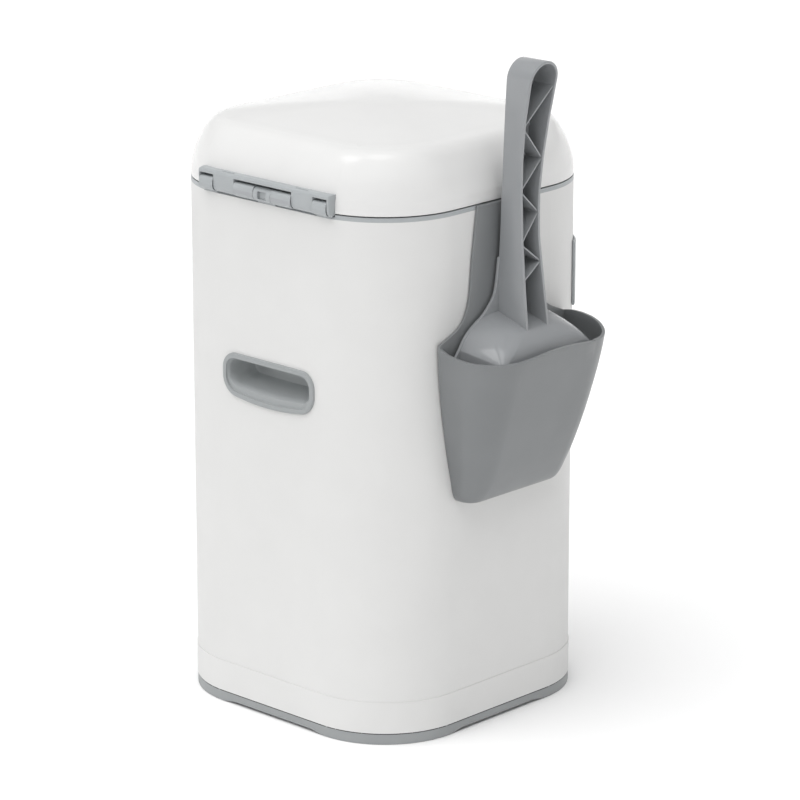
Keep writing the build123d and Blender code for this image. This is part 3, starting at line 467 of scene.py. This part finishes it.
def make_lift_lip():
    """The small lip for a fingertip on the lid's front edge."""
    bm = bmesh.new()
    add_box(bm, (-LIP_HALF, -BODY_HALF - LIP_OUT, LID_LOW),
            (LIP_HALF, -BODY_HALF + LID_WALL, LID_LOW + LIP_TALL))
    uprights = [edge for edge in bm.edges
                if runs_along(edge, Z) and edge.verts[0].co.y < -BODY_HALF]
    bmesh.ops.bevel(bm, geom=uprights, offset=LIP_CORNER, segments=8, profile=0.5,
                    affect="EDGES", material=-1)
    return finish_mesh("lift_lip", bm, edge=0.7)


def make_lid():
    """The lid: rounded sides, a soft crease and a low dome, open below and at the hinge bar."""
    levels = [(height, BODY_HALF - inset, BODY_R - inset)
              for height, inset in smooth_run(LID_SIDE)]
    for share in DOME_SHARES:
        levels.append((DOME_LOW + DOME_RISE * (1 - share * share),
                       share * (BODY_HALF - DOME_IN), share * (BODY_R - DOME_IN)))
    bm = bmesh.new()
    loops = [rounded_loop(bm, half, half, radius, LID_LOW + height)
             for height, half, radius in levels]
    stack_levels(bm, loops, cap_top=True)
    open_lid_window(bm)
    shell = finish_mesh("lid_skin", bm, wall=LID_WALL)
    return join_pieces("lid_moulding", [shell, make_lift_lip()])


# ---------------------------------------------------------------- scoop holder

def rim_height(place):
    """The height of the pocket's wavy rim over a point of its outline."""
    if abs(place.y) < RIM_CORNER:
        return value_at(RIM_FRONT, place.y)
    return value_at(RIM_NEAR if place.y > 0 else RIM_AWAY, max(0, WALL_X - place.x))


def make_pocket():
    """The holder's pocket, with a wave in its rim."""
    bm = bmesh.new()
    loops = [rounded_loop(bm, depth, half, radius, height, -BODY_HALF)
             for height, half, depth, radius in smooth_run(POCKET, LEVEL_STEPS)]
    stack_levels(bm, loops, cap_bottom=True)
    score(bm, (WALL_X, 0, 0), (1, 0, 0), clear=True)
    for out in RIM_SCORES:
        score(bm, (WALL_X - out, 0, 0), (1, 0, 0))
    for y, height in RIM_FRONT:
        score(bm, (0, y, 0), (0, 1, 0))
    for vert in bm.verts:
        above = vert.co.z - RIM_FROM
        if above > 0:
            vert.co.z = RIM_FROM + above * (rim_height(vert.co) - RIM_FROM) / (RIM_TOP - RIM_FROM)
    return finish_mesh("pocket", bm, wall=HOLDER_T, edge=0.55, even=False)


def make_holder():
    """The pocket, the strap and back plate in one, and the hook over the collar."""
    pocket = make_pocket()
    outline = both_sides(smooth_run(STRAP) + smooth_run(HOLDER_SIDE) + HOLDER_FOOT)
    strap = plate("strap", outline, WALL_X, HOLDER_T, edge=0.5)
    lip = plate("hook_lip", strip_outline(HOOK_HALF, HOLDER_TOP, HOOK_DROP),
                HOOK_END, HOOK_T, edge=0.3)
    over = plate("hook_tab", strip_outline(HOOK_HALF, HOLDER_TOP, HOOK_T),
                 HOOK_END, HOOK_END - WALL_X + HOLDER_T / 2, edge=0.3)
    return join_pieces("holder_moulding", [pocket, strap, lip, over])


# ---------------------------------------------------------------- grip, hinge bar and base

def make_grip():
    """The carrying grip: a rounded frame and the cup behind it, sagging below like a smile."""
    bm = bmesh.new()
    loops = []
    for half, top, low, radius, back in GRIP:
        loop = rounded_loop(bm, half, (top - low) / 2, radius, back)
        bmesh.ops.translate(bm, vec=(0, (top + low) / 2, 0),
                            verts=list({vert for edge in loop for vert in edge.verts}))
        loops.append(loop)
    stack_levels(bm, loops, cap_top=True)
    width, top, low = GRIP[0][:3]
    for step in range(1, GRIP_SCORES):
        score(bm, (width * (2 * step / GRIP_SCORES - 1), 0, 0), (1, 0, 0))
    for vert in bm.verts:
        below = ((top + low) / 2 - vert.co.y) / (top - low)
        sag = min(1, max(0, below * GRIP_SAG_RISE))
        vert.co.y -= GRIP_SMILE * sag * max(0, 1 - (vert.co.x / width) ** 2)
    bmesh.ops.rotate(bm, cent=(0, 0, 0), matrix=GRIP_ON_BACK, verts=bm.verts)
    face_out(bm, (0, 1, 0))
    return finish_mesh("grip_moulding", bm, wall=GRIP_WALL, even=False)


def long_bar(bm, side, start, end):
    """A bar along the hinge, from its (y, height) section."""
    face = bm.faces.new([bm.verts.new((start, y, z)) for y, z in side])
    far = bmesh.ops.extrude_face_region(bm, geom=[face])["geom"]
    bmesh.ops.translate(bm, vec=(end - start, 0, 0), verts=verts_of(far))
    bmesh.ops.recalc_face_normals(bm, faces=bm.faces)


def make_knuckles(name, spans):
    """Rounded knuckles round the hinge's pin."""
    pieces = []
    for index, (start, end) in enumerate(spans):
        bm = bmesh.new()
        long_bar(bm, KNUCKLE_SIDE, start, end)
        pieces.append(finish_mesh(f"{name}_{index}", bm, edge=0.5, edge_angle=50))
    return join_pieces(name, pieces)


def make_fixed_knuckles():
    """The collar's two end knuckles."""
    return make_knuckles("fixed_knuckles", FIXED_KNUCKLES)


def make_unit_knuckles():
    """The top unit's two knuckles."""
    return make_knuckles("unit_knuckles", UNIT_KNUCKLES)


def make_bar_cutter():
    """What is cut out of the hinge bar: windows for the knuckles and two slots in its top."""
    bm = bmesh.new()
    spans = [(span, BAR_WINDOW_Y, BAR_WINDOW_Z) for span in BAR_WINDOWS]
    spans += [(span, BAR_SLOT_Y, BAR_SLOT_Z) for span in BAR_SLOTS]
    for box in spans:
        low, high = zip(*box)
        add_box(bm, low, high)
    return finish_mesh("bar_cutter", bm)


def make_hinge_bar():
    """The lid's hinge bar, with its windows, its slots and its rounded ends."""
    bm = bmesh.new()
    long_bar(bm, BAR_SIDE + BAR_ROUND, -BAR_END, BAR_END)
    ends = [edge for edge in bm.edges
            if not runs_along(edge, X) and min(vert.co.y for vert in edge.verts) > BAR_OUTER]
    bmesh.ops.bevel(bm, geom=ends, offset=BAR_CORNER, segments=4, profile=0.5,
                    affect="EDGES", material=-1)
    bar = finish_mesh("bar", bm)
    carve(bar, make_bar_cutter())
    round_edges(bar, 0.35, angle=50, segments=2)
    settle(bar)
    shade_smooth(bar, 40)
    bar.name = "hinge_bar_moulding"
    return bar


def make_base_band():
    """The base's outer band, with a shallow arch between the feet on each side."""
    bm = bmesh.new()
    loops = [rounded_loop(bm, BASE_FACE - inset, BASE_FACE - inset, BODY_R - inset, height)
             for height, inset in BASE_LEVELS]
    stack_levels(bm, loops)
    for step in range(ARCH_SCORES + 1):
        for sign in (1, -1):
            at = sign * (ARCH_END - ARCH_RUN * step / ARCH_SCORES)
            score(bm, (at, 0, 0), (1, 0, 0))
            score(bm, (0, at, 0), (0, 1, 0))
    for vert in bm.verts:
        along = min(abs(vert.co.x), abs(vert.co.y))
        share = min(1, max(0, (ARCH_END - along) / ARCH_RUN))
        ease = share * share * (3 - 2 * share)
        vert.co.z += ARCH_RISE * ease * (1 - vert.co.z / BASE_SEAM)
    return finish_mesh("base_band", bm, wall=BASE_WALL)


def make_painted_gap_shade():
    """A thin dark strip between the base and the white skirt: painted shade standing in for the
    shadow in their gap.
    """
    bm = bmesh.new()
    loops = [rounded_loop(bm, BASE_FACE - SHADE_STRIP_IN, BASE_FACE - SHADE_STRIP_IN, BODY_R, height)
             for height in (SHADE_STRIP_LOW, BASE_TOP)]
    stack_levels(bm, loops)
    return finish_mesh("base_gap_painted_shade", bm, wall=SHADE_STRIP_WALL)


# ---------------------------------------------------------------- return springs

def make_springs():
    """The two return springs, wound to fill the box of the CAD springs and carried by the top
    unit.
    """
    low, high = (Vector(corner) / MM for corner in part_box("return_springs"))
    radius = (high.z - low.z) / 2 - SPRING_WIRE
    height = (high.z + low.z) / 2
    length = high.y - low.y - 2 * SPRING_WIRE
    steps = SPRING_TURNS * SPRING_STEPS
    bm = bmesh.new()
    for middle in (low.x + radius + SPRING_WIRE, high.x - radius - SPRING_WIRE):
        wire = bmesh.ops.create_circle(bm, cap_ends=True, segments=8, radius=SPRING_WIRE)["verts"]
        bmesh.ops.translate(bm, vec=(middle + radius, low.y + SPRING_WIRE, height), verts=wire)
        face = wire[0].link_faces[0]
        bmesh.ops.spin(bm, geom=[face, *face.edges, *face.verts], cent=(middle, 0, height),
                       axis=(0, 1, 0), dvec=(0, length / steps, 0),
                       angle=2 * pi * SPRING_TURNS, steps=steps)
    bmesh.ops.holes_fill(bm, edges=bm.edges, sides=0)
    bmesh.ops.recalc_face_normals(bm, faces=bm.faces)
    springs = finish_mesh("wound_springs", bm, sharp=60)
    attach(springs, "top_unit")
    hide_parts("return_springs")
    dress(springs, NODE_SLOT["return_springs"])
    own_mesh(springs)


# ---------------------------------------------------------------- scoop

def make_sift_cutter():
    """What is cut out of the pan: a row of slots with round ends."""
    bm = bmesh.new()
    for index in range(SIFT_SLOTS):
        y = (index / (SIFT_SLOTS - 1) - 0.5) * SIFT_SPAN
        add_box(bm, (PAN_BACK - SIFT_REACH, y - SIFT_HALF, SIFT_LOW),
                (PAN_BACK, y + SIFT_HALF, SIFT_HIGH))
    corners = [edge for edge in bm.edges if runs_along(edge, X)]
    bmesh.ops.bevel(bm, geom=corners, offset=SIFT_ROUND, segments=5, profile=0.5,
                    affect="EDGES", material=-1)
    return finish_mesh("sift_cutter", bm)


def make_pan():
    """The scoop's pan with its arched heel, open towards the pail and at its tip."""
    rows = smooth_run(PAN, LEVEL_STEPS)
    bm = bmesh.new()
    loops = [rounded_loop(bm, depth, half, radius, height, PAN_BACK)
             for height, half, front, depth, radius in rows]
    stack_levels(bm, loops, cap_top=True)
    score(bm, (PAN_BACK, 0, 0), (1, 0, 0), clear=True)
    narrowing = [(height, front / half) for height, half, front, depth, radius in rows]
    depths = [(height, depth) for height, half, front, depth, radius in rows]
    for vert in bm.verts:
        height = vert.co.z
        out = PAN_BACK - vert.co.x
        lost = 1 - value_at(narrowing, height)
        fall = min(1, max(0, (height - HEEL_FROM) / (HEEL_FULL - HEEL_FROM)))
        vert.co.y *= 1 - lost * min(1, out / value_at(depths, height))
        vert.co.z -= HEEL_FALL * fall * out
    pan = finish_mesh("pan", bm, wall=PAN_T, edge=0.4, even=False)
    carve(pan, make_sift_cutter())
    shade_smooth(pan, 35)
    return pan


def make_band():
    """The handle's two flanges and the loop that joins them."""
    end, shoulder = HANDLE_SIDE[-1]
    turns = [pi / 2 * step / CROWN_STEPS for step in range(1, CROWN_STEPS)]
    crown = [(end * cos(turn), shoulder + (HANDLE_TOP - shoulder) * sin(turn)) for turn in turns]
    half = smooth_run(HANDLE_SIDE) + crown
    outline = half + [(0, HANDLE_TOP)] + [(-y, z) for y, z in reversed(half)]
    bm = bmesh.new()
    rear = [bm.verts.new((value_at(HANDLE_REAR, z), y, z)) for y, z in outline]
    chain = [bm.edges.new(pair) for pair in zip(rear, rear[1:])]
    for vert in verts_of(bmesh.ops.extrude_edge_only(bm, edges=chain)["geom"]):
        vert.co.x = value_at(HANDLE_FRONT, vert.co.z)
    bmesh.ops.recalc_face_normals(bm, faces=bm.faces)
    face_out(bm, (0, 0, 1))
    return finish_mesh("band", bm, wall=FLANGE_T, edge=0.5)


def make_web():
    """The thin wall that closes the handle towards the pail."""
    side = [(y - WEB_IN, z) for y, z in smooth_run(HANDLE_SIDE)] + WEB_CROWN
    bm = bmesh.new()
    chains = []
    for sign in (1, -1):
        verts = [bm.verts.new((value_at(HANDLE_REAR, z) - WEB_T, sign * y, z)) for y, z in side]
        chains += [bm.edges.new(pair) for pair in zip(verts, verts[1:])]
    bmesh.ops.bridge_loops(bm, edges=chains)
    bmesh.ops.recalc_face_normals(bm, faces=bm.faces)
    if bm.faces[0].normal.x > 0:
        bmesh.ops.reverse_faces(bm, faces=bm.faces)
    return finish_mesh("web", bm, wall=WEB_T)


def make_rib(index, start, end):
    """One zigzag rib between two (y, height) points, as deep as the handle."""
    bm = bmesh.new()
    verts = []
    for step in range(RIB_STEPS + 1):
        y = start[0] + (end[0] - start[0]) * step / RIB_STEPS
        z = start[1] + (end[1] - start[1]) * step / RIB_STEPS
        verts.append(bm.verts.new((value_at(HANDLE_REAR, z) - WEB_T / 2, y, z)))
    chain = [bm.edges.new(pair) for pair in zip(verts, verts[1:])]
    for vert in verts_of(bmesh.ops.extrude_edge_only(bm, edges=chain)["geom"]):
        vert.co.x = value_at(HANDLE_FRONT, vert.co.z) + RIB_RECESS
    return finish_mesh(f"rib_{index}", bm, wall=RIB_T, offset=0, edge=0.25)


def make_scoop():
    """The whole scoop: pan, shoulder fin, and the looped handle with its web and ribs."""
    fin = plate("fin", both_sides(smooth_run(FIN)), PAN_BACK, FIN_T, edge=0.5)
    pieces = [make_pan(), fin, make_band(), make_web()]
    halves = [(height, half) for half, height in HANDLE_SIDE]
    ends = []
    for far, near in zip(RIB_FAR, RIB_NEAR):
        for sign, height in ((-1, far), (1, near)):
            ends.append((sign * (value_at(halves, height) - FLANGE_T / 2), height))
    for index, (start, end) in enumerate(zip(ends, ends[1:])):
        pieces.append(make_rib(index, start, end))
    return join_pieces("scoop_moulding", pieces)


# ---------------------------------------------------------------- finishes

def new_finish(name, roughness, metallic=0.0):
    """An empty material with its shader and the object's coordinates."""
    material = bpy.data.materials.new(name)
    material.use_nodes = True
    tree = material.node_tree
    shader = tree.nodes["Principled BSDF"]
    shader.inputs["Roughness"].default_value = roughness
    shader.inputs["Metallic"].default_value = metallic
    place = tree.nodes.new("ShaderNodeTexCoord")
    return material, tree, shader, place.outputs["Object"]


def noise(tree, place, scale, detail=2.0, stretch=None):
    """A noise pattern on the object, stretched along an axis where asked."""
    pattern = tree.nodes.new("ShaderNodeTexNoise")
    pattern.inputs["Scale"].default_value = scale
    pattern.inputs["Detail"].default_value = detail
    if stretch:
        mapping = tree.nodes.new("ShaderNodeMapping")
        mapping.inputs["Scale"].default_value = stretch
        tree.links.new(place, mapping.inputs["Vector"])
        place = mapping.outputs["Vector"]
    tree.links.new(place, pattern.inputs["Vector"])
    return pattern.outputs["Fac"]


def spread(tree, value, low=0.0, high=1.0):
    """A pattern turned into numbers between low and high."""
    ranged = tree.nodes.new("ShaderNodeMapRange")
    ranged.inputs["From Min"].default_value = NOISE_LOW
    ranged.inputs["From Max"].default_value = NOISE_HIGH
    ranged.inputs["To Min"].default_value = low
    ranged.inputs["To Max"].default_value = high
    tree.links.new(value, ranged.inputs["Value"])
    return ranged.outputs["Result"]


def tinted(tree, value, first, second, shader):
    """Two near colours mixed by a pattern."""
    mix = tree.nodes.new("ShaderNodeMix")
    mix.data_type = "RGBA"
    mix.inputs["A"].default_value = (*first, 1)
    mix.inputs["B"].default_value = (*second, 1)
    tree.links.new(value, mix.inputs["Factor"])
    tree.links.new(mix.outputs["Result"], shader.inputs["Base Color"])


def patchy(tree, place, shader, scale, low, high):
    """Roughness that wanders between two values in soft patches."""
    tree.links.new(spread(tree, noise(tree, place, scale), low, high), shader.inputs["Roughness"])


def raised(tree, value, depth, shader, strength, below=None):
    """A pattern as fine relief, over the relief below it where there is one."""
    bump = tree.nodes.new("ShaderNodeBump")
    bump.inputs["Strength"].default_value = strength
    bump.inputs["Distance"].default_value = depth * MM
    tree.links.new(value, bump.inputs["Height"])
    if below:
        tree.links.new(below, bump.inputs["Normal"])
    tree.links.new(bump.outputs["Normal"], shader.inputs["Normal"])
    return bump.outputs["Normal"]


def moulded_plastic(name, colour, roughness, grain=0.0, grain_size=0.6, mottle=0.03, coat=0.0):
    """Moulded plastic: faint clouds in its colour and gloss, a slow flow, and mould grain."""
    material, tree, shader, place = new_finish(name, roughness)
    lighter = [min(1, c * (1 + mottle)) for c in colour]
    darker = [c * (1 - mottle) for c in colour]
    tinted(tree, spread(tree, noise(tree, place, CLOUDS, 3)), darker, lighter, shader)
    patchy(tree, place, shader, PATCHES, roughness * 0.9, roughness * 1.12)
    flow = raised(tree, noise(tree, place, FLOW, 1), 0.12, shader, 0.35)
    if grain:
        raised(tree, noise(tree, place, IN_A_METRE / grain_size, 1), grain, shader, 0.6, flow)
    shader.inputs["Coat Weight"].default_value = coat
    shader.inputs["Coat Roughness"].default_value = 0.08
    return material


def painted_light_into_cup(name, colour, painted_light_colour, roughness):
    """Grained moulded plastic with painted light: its grey is painted paler deeper into the grip's
    cup.
    """
    material, tree, shader, place = new_finish(name, roughness)
    apart = tree.nodes.new("ShaderNodeSeparateXYZ")
    tree.links.new(place, apart.inputs["Vector"])
    depth = tree.nodes.new("ShaderNodeMapRange")
    depth.inputs["From Min"].default_value = GRIP_PAINTED_LIGHT_FROM
    depth.inputs["From Max"].default_value = GRIP_PAINTED_LIGHT_AT
    tree.links.new(apart.outputs["Y"], depth.inputs["Value"])
    # painted light: the colour grows paler with depth into the grip's cup
    tinted(tree, depth.outputs["Result"], colour, painted_light_colour, shader)
    patchy(tree, place, shader, PATCHES, roughness * 0.9, roughness * 1.12)
    raised(tree, noise(tree, place, GRIP_GRAIN, 1), 0.04, shader, 0.6)
    return material


def drawn_steel(name, colour, roughness, stretch):
    """Steel with fine draw or grinding lines."""
    material, tree, shader, place = new_finish(name, roughness, 1.0)
    lines = noise(tree, place, DRAW_LINES, 2, stretch)
    tinted(tree, spread(tree, lines), [c * 0.86 for c in colour], colour, shader)
    patchy(tree, place, shader, STEEL_PATCHES, roughness * 0.85, roughness * 1.25)
    raised(tree, lines, 0.02, shader, 0.5)
    return material


def soft_rubber(name):
    """Black sealing rubber, dull and slightly dusty."""
    material, tree, shader, place = new_finish(name, 0.7)
    dust = noise(tree, place, DUST, 4)
    tinted(tree, spread(tree, dust), (0.028, 0.028, 0.03), (0.06, 0.06, 0.063), shader)
    tree.links.new(spread(tree, dust, 0.62, 0.82), shader.inputs["Roughness"])
    raised(tree, noise(tree, place, RUBBER_GRAIN, 1), 0.05, shader, 0.5)
    return material


def gathered_film(name):
    """Thin bag film, gathered into close rings round the refill's core."""
    material, tree, shader, place = new_finish(name, 0.3)
    centre = tree.nodes.new("ShaderNodeMapping")
    centre.inputs["Location"].default_value = REFILL_TO_AXIS
    tree.links.new(place, centre.inputs["Vector"])
    folds = tree.nodes.new("ShaderNodeTexWave")
    folds.wave_type = "RINGS"
    folds.rings_direction = "Z"
    folds.inputs["Scale"].default_value = 130
    folds.inputs["Distortion"].default_value = 3.0
    folds.inputs["Detail"].default_value = 2
    folds.inputs["Detail Scale"].default_value = 2.4
    tree.links.new(centre.outputs["Vector"], folds.inputs["Vector"])
    tinted(tree, folds.outputs["Fac"], (0.52, 0.6, 0.66), (0.82, 0.86, 0.88), shader)
    raised(tree, folds.outputs["Fac"], 0.8, shader, 0.8)
    shader.inputs["Coat Weight"].default_value = 0.4
    shader.inputs["Coat Roughness"].default_value = 0.12
    return material


FINISHES = {
    "white_plastic": moulded_plastic("grained_white", (0.662, 0.661, 0.654), roughness=0.5,
                                     grain=0.06, grain_size=0.7, mottle=0.012),
    "lid_white": moulded_plastic("polished_white", (0.688, 0.687, 0.682), roughness=0.18,
                                 mottle=0.01, coat=0.15),
    "liner_white": moulded_plastic("liner_white", (0.76, 0.765, 0.77), roughness=0.42,
                                   grain=0.03, grain_size=0.5, mottle=0.015),
    "base_grey": moulded_plastic("base_grey", (0.288, 0.3, 0.305), roughness=0.45,
                                 grain=0.05, grain_size=0.6),
    "hinge_grey": moulded_plastic("hinge_grey", (0.36, 0.38, 0.39), roughness=0.38,
                                  grain=0.03, grain_size=0.5),
    "deck_grey": moulded_plastic("deck_grey", (0.33, 0.34, 0.355), roughness=0.42,
                                 grain=0.04, grain_size=0.6),
    "holder_grey": moulded_plastic("holder_grey", (0.185, 0.193, 0.198), roughness=0.34,
                                   grain=0.02, grain_size=0.5),
    "scoop_grey": moulded_plastic("scoop_grey", (0.268, 0.278, 0.288), roughness=0.16,
                                  mottle=0.02, coat=0.35),
    "refill_plastic": moulded_plastic("refill_white", (0.72, 0.74, 0.76), roughness=0.35,
                                      grain=0.02, grain_size=0.5),
    "film": gathered_film("bag_film"),
    "seal_rubber": soft_rubber("seal_rubber"),
    "screw_steel": drawn_steel("zinc_steel", (0.6, 0.61, 0.62), 0.32, stretch=(1, 1, 8)),
    "blade_steel": drawn_steel("ground_steel", (0.68, 0.69, 0.7), 0.2, stretch=(1, 9, 1)),
    "spring_steel": drawn_steel("spring_wire", (0.56, 0.56, 0.57), 0.3, stretch=(6, 1, 6)),
}
# The grip's finish carries painted light: a paler grey deeper in the cup.
GRIP_PAINTED_LIGHT_FINISH = painted_light_into_cup("grip_grey_painted_light", (0.3, 0.315, 0.32), (0.42, 0.44, 0.445), 0.42)
NODE_SLOT = {entry["node"]: entry["material_slot"] for entry in frame["record"]["subparts"]}


def dress(piece, slot):
    """Give a piece its slot's finish."""
    piece.data.materials.clear()
    piece.data.materials.append(FINISHES[slot])


for node, piece in frame["nodes"].items():
    dress(piece, NODE_SLOT[node])

NEW_PIECES = (  # (how it is made, its body, the node that it stands in for)
    (make_lid, "lid", "lid_shell"),
    (make_hinge_bar, "lid", "lid_hinge_bar"),
    (make_grip, "pail", "grip_cup"),
    (make_holder, "pail", "scoop_holder"),
    (make_scoop, "scoop", "scoop"),
)
for make, body, node in NEW_PIECES:
    piece = make()
    dress(piece, NODE_SLOT[node])
    # the grip gets the finish with painted light in its cup
    if node == "grip_cup":
        piece.data.materials[0] = GRIP_PAINTED_LIGHT_FINISH
    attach(piece, body)
    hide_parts(node)

make_springs()

ADDED_PIECES = (  # (how it is made, its body, its slot)
    (make_base_band, "pail", "base_grey"),
    # painted shade: a dark strip where the gap between base and skirt is in shadow
    (make_painted_gap_shade, "pail", "seal_rubber"),
    (make_fixed_knuckles, "pail", "hinge_grey"),
    (make_unit_knuckles, "top_unit", "hinge_grey"),
)
for make, body, slot in ADDED_PIECES:
    piece = make()
    dress(piece, slot)
    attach(piece, body)


# ---------------------------------------------------------------- floor, light and camera

def make_floor():
    """A pale matte floor, with a low pale wall far round it for the low views."""
    bm = bmesh.new()
    bmesh.ops.create_grid(bm, x_segments=1, y_segments=1, size=FLOOR_HALF)
    floor = finish_mesh("floor", bm)
    bm = bmesh.new()
    bmesh.ops.create_circle(bm, segments=96, radius=BACKDROP_R)
    rim = bmesh.ops.extrude_edge_only(bm, edges=list(bm.edges))["geom"]
    bmesh.ops.translate(bm, vec=(0, 0, BACKDROP_TALL), verts=verts_of(rim))
    wall = finish_mesh("backdrop", bm)
    material, tree, shader, place = new_finish("pale_floor", 0.85)
    tinted(tree, spread(tree, noise(tree, place, FLOOR_CLOUDS)), (0.94, 0.94, 0.94),
           (0.96, 0.96, 0.96), shader)
    for stage in (floor, wall):
        stage.data.materials.append(material)


def soft_sky(name, towards, spread_angle, strength, shine=False):
    """A broad, even light from one side; one for shine is seen only in glossy surfaces."""
    data = bpy.data.lights.new(name, "SUN")
    data.energy = strength
    data.angle = radians(spread_angle)
    light = bpy.data.objects.new(name, data)
    light.rotation_euler = Vector(towards).to_track_quat("Z", "Y").to_euler()
    light.visible_diffuse = not shine
    light.visible_glossy = shine
    bpy.context.scene.collection.objects.link(light)


def aim_camera():
    """The camera where the photo was taken from."""
    towards = Vector((sin(AZIMUTH) * cos(ELEVATION), -cos(AZIMUTH) * cos(ELEVATION),
                      sin(ELEVATION)))
    lens = bpy.data.cameras.new("photo_camera")
    lens.sensor_width = SENSOR
    lens.lens = LENS
    lens.clip_end = FAR_CLIP
    camera = bpy.data.objects.new("photo_camera", lens)
    camera.location = CAMERA_AT
    camera.rotation_euler = (-towards).to_track_quat("-Z", "Y").to_euler()
    bpy.context.scene.collection.objects.link(camera)
    bpy.context.scene.camera = camera


make_floor()
soft_sky("ceiling", (0.0, 0.4, 1.0), 74, 2.65)
soft_sky("back_window", (0.3, 0.52, 0.8), 22, 0.25, shine=True)
soft_sky("top_window", (-0.1, 0.2, 0.95), 24, 0.2, shine=True)
soft_sky("far_glow", (0.661, -0.694, 0.285), 50, 0.12, shine=True)

world = bpy.data.worlds.new("studio")
world.use_nodes = True
background = world.node_tree.nodes["Background"]
background.inputs["Color"].default_value = (1, 1, 1, 1)
background.inputs["Strength"].default_value = ROOM_LIGHT
bpy.context.scene.world = world
bpy.context.scene.view_settings.view_transform = "Standard"

aim_camera()

bpy.context.view_layer.update()
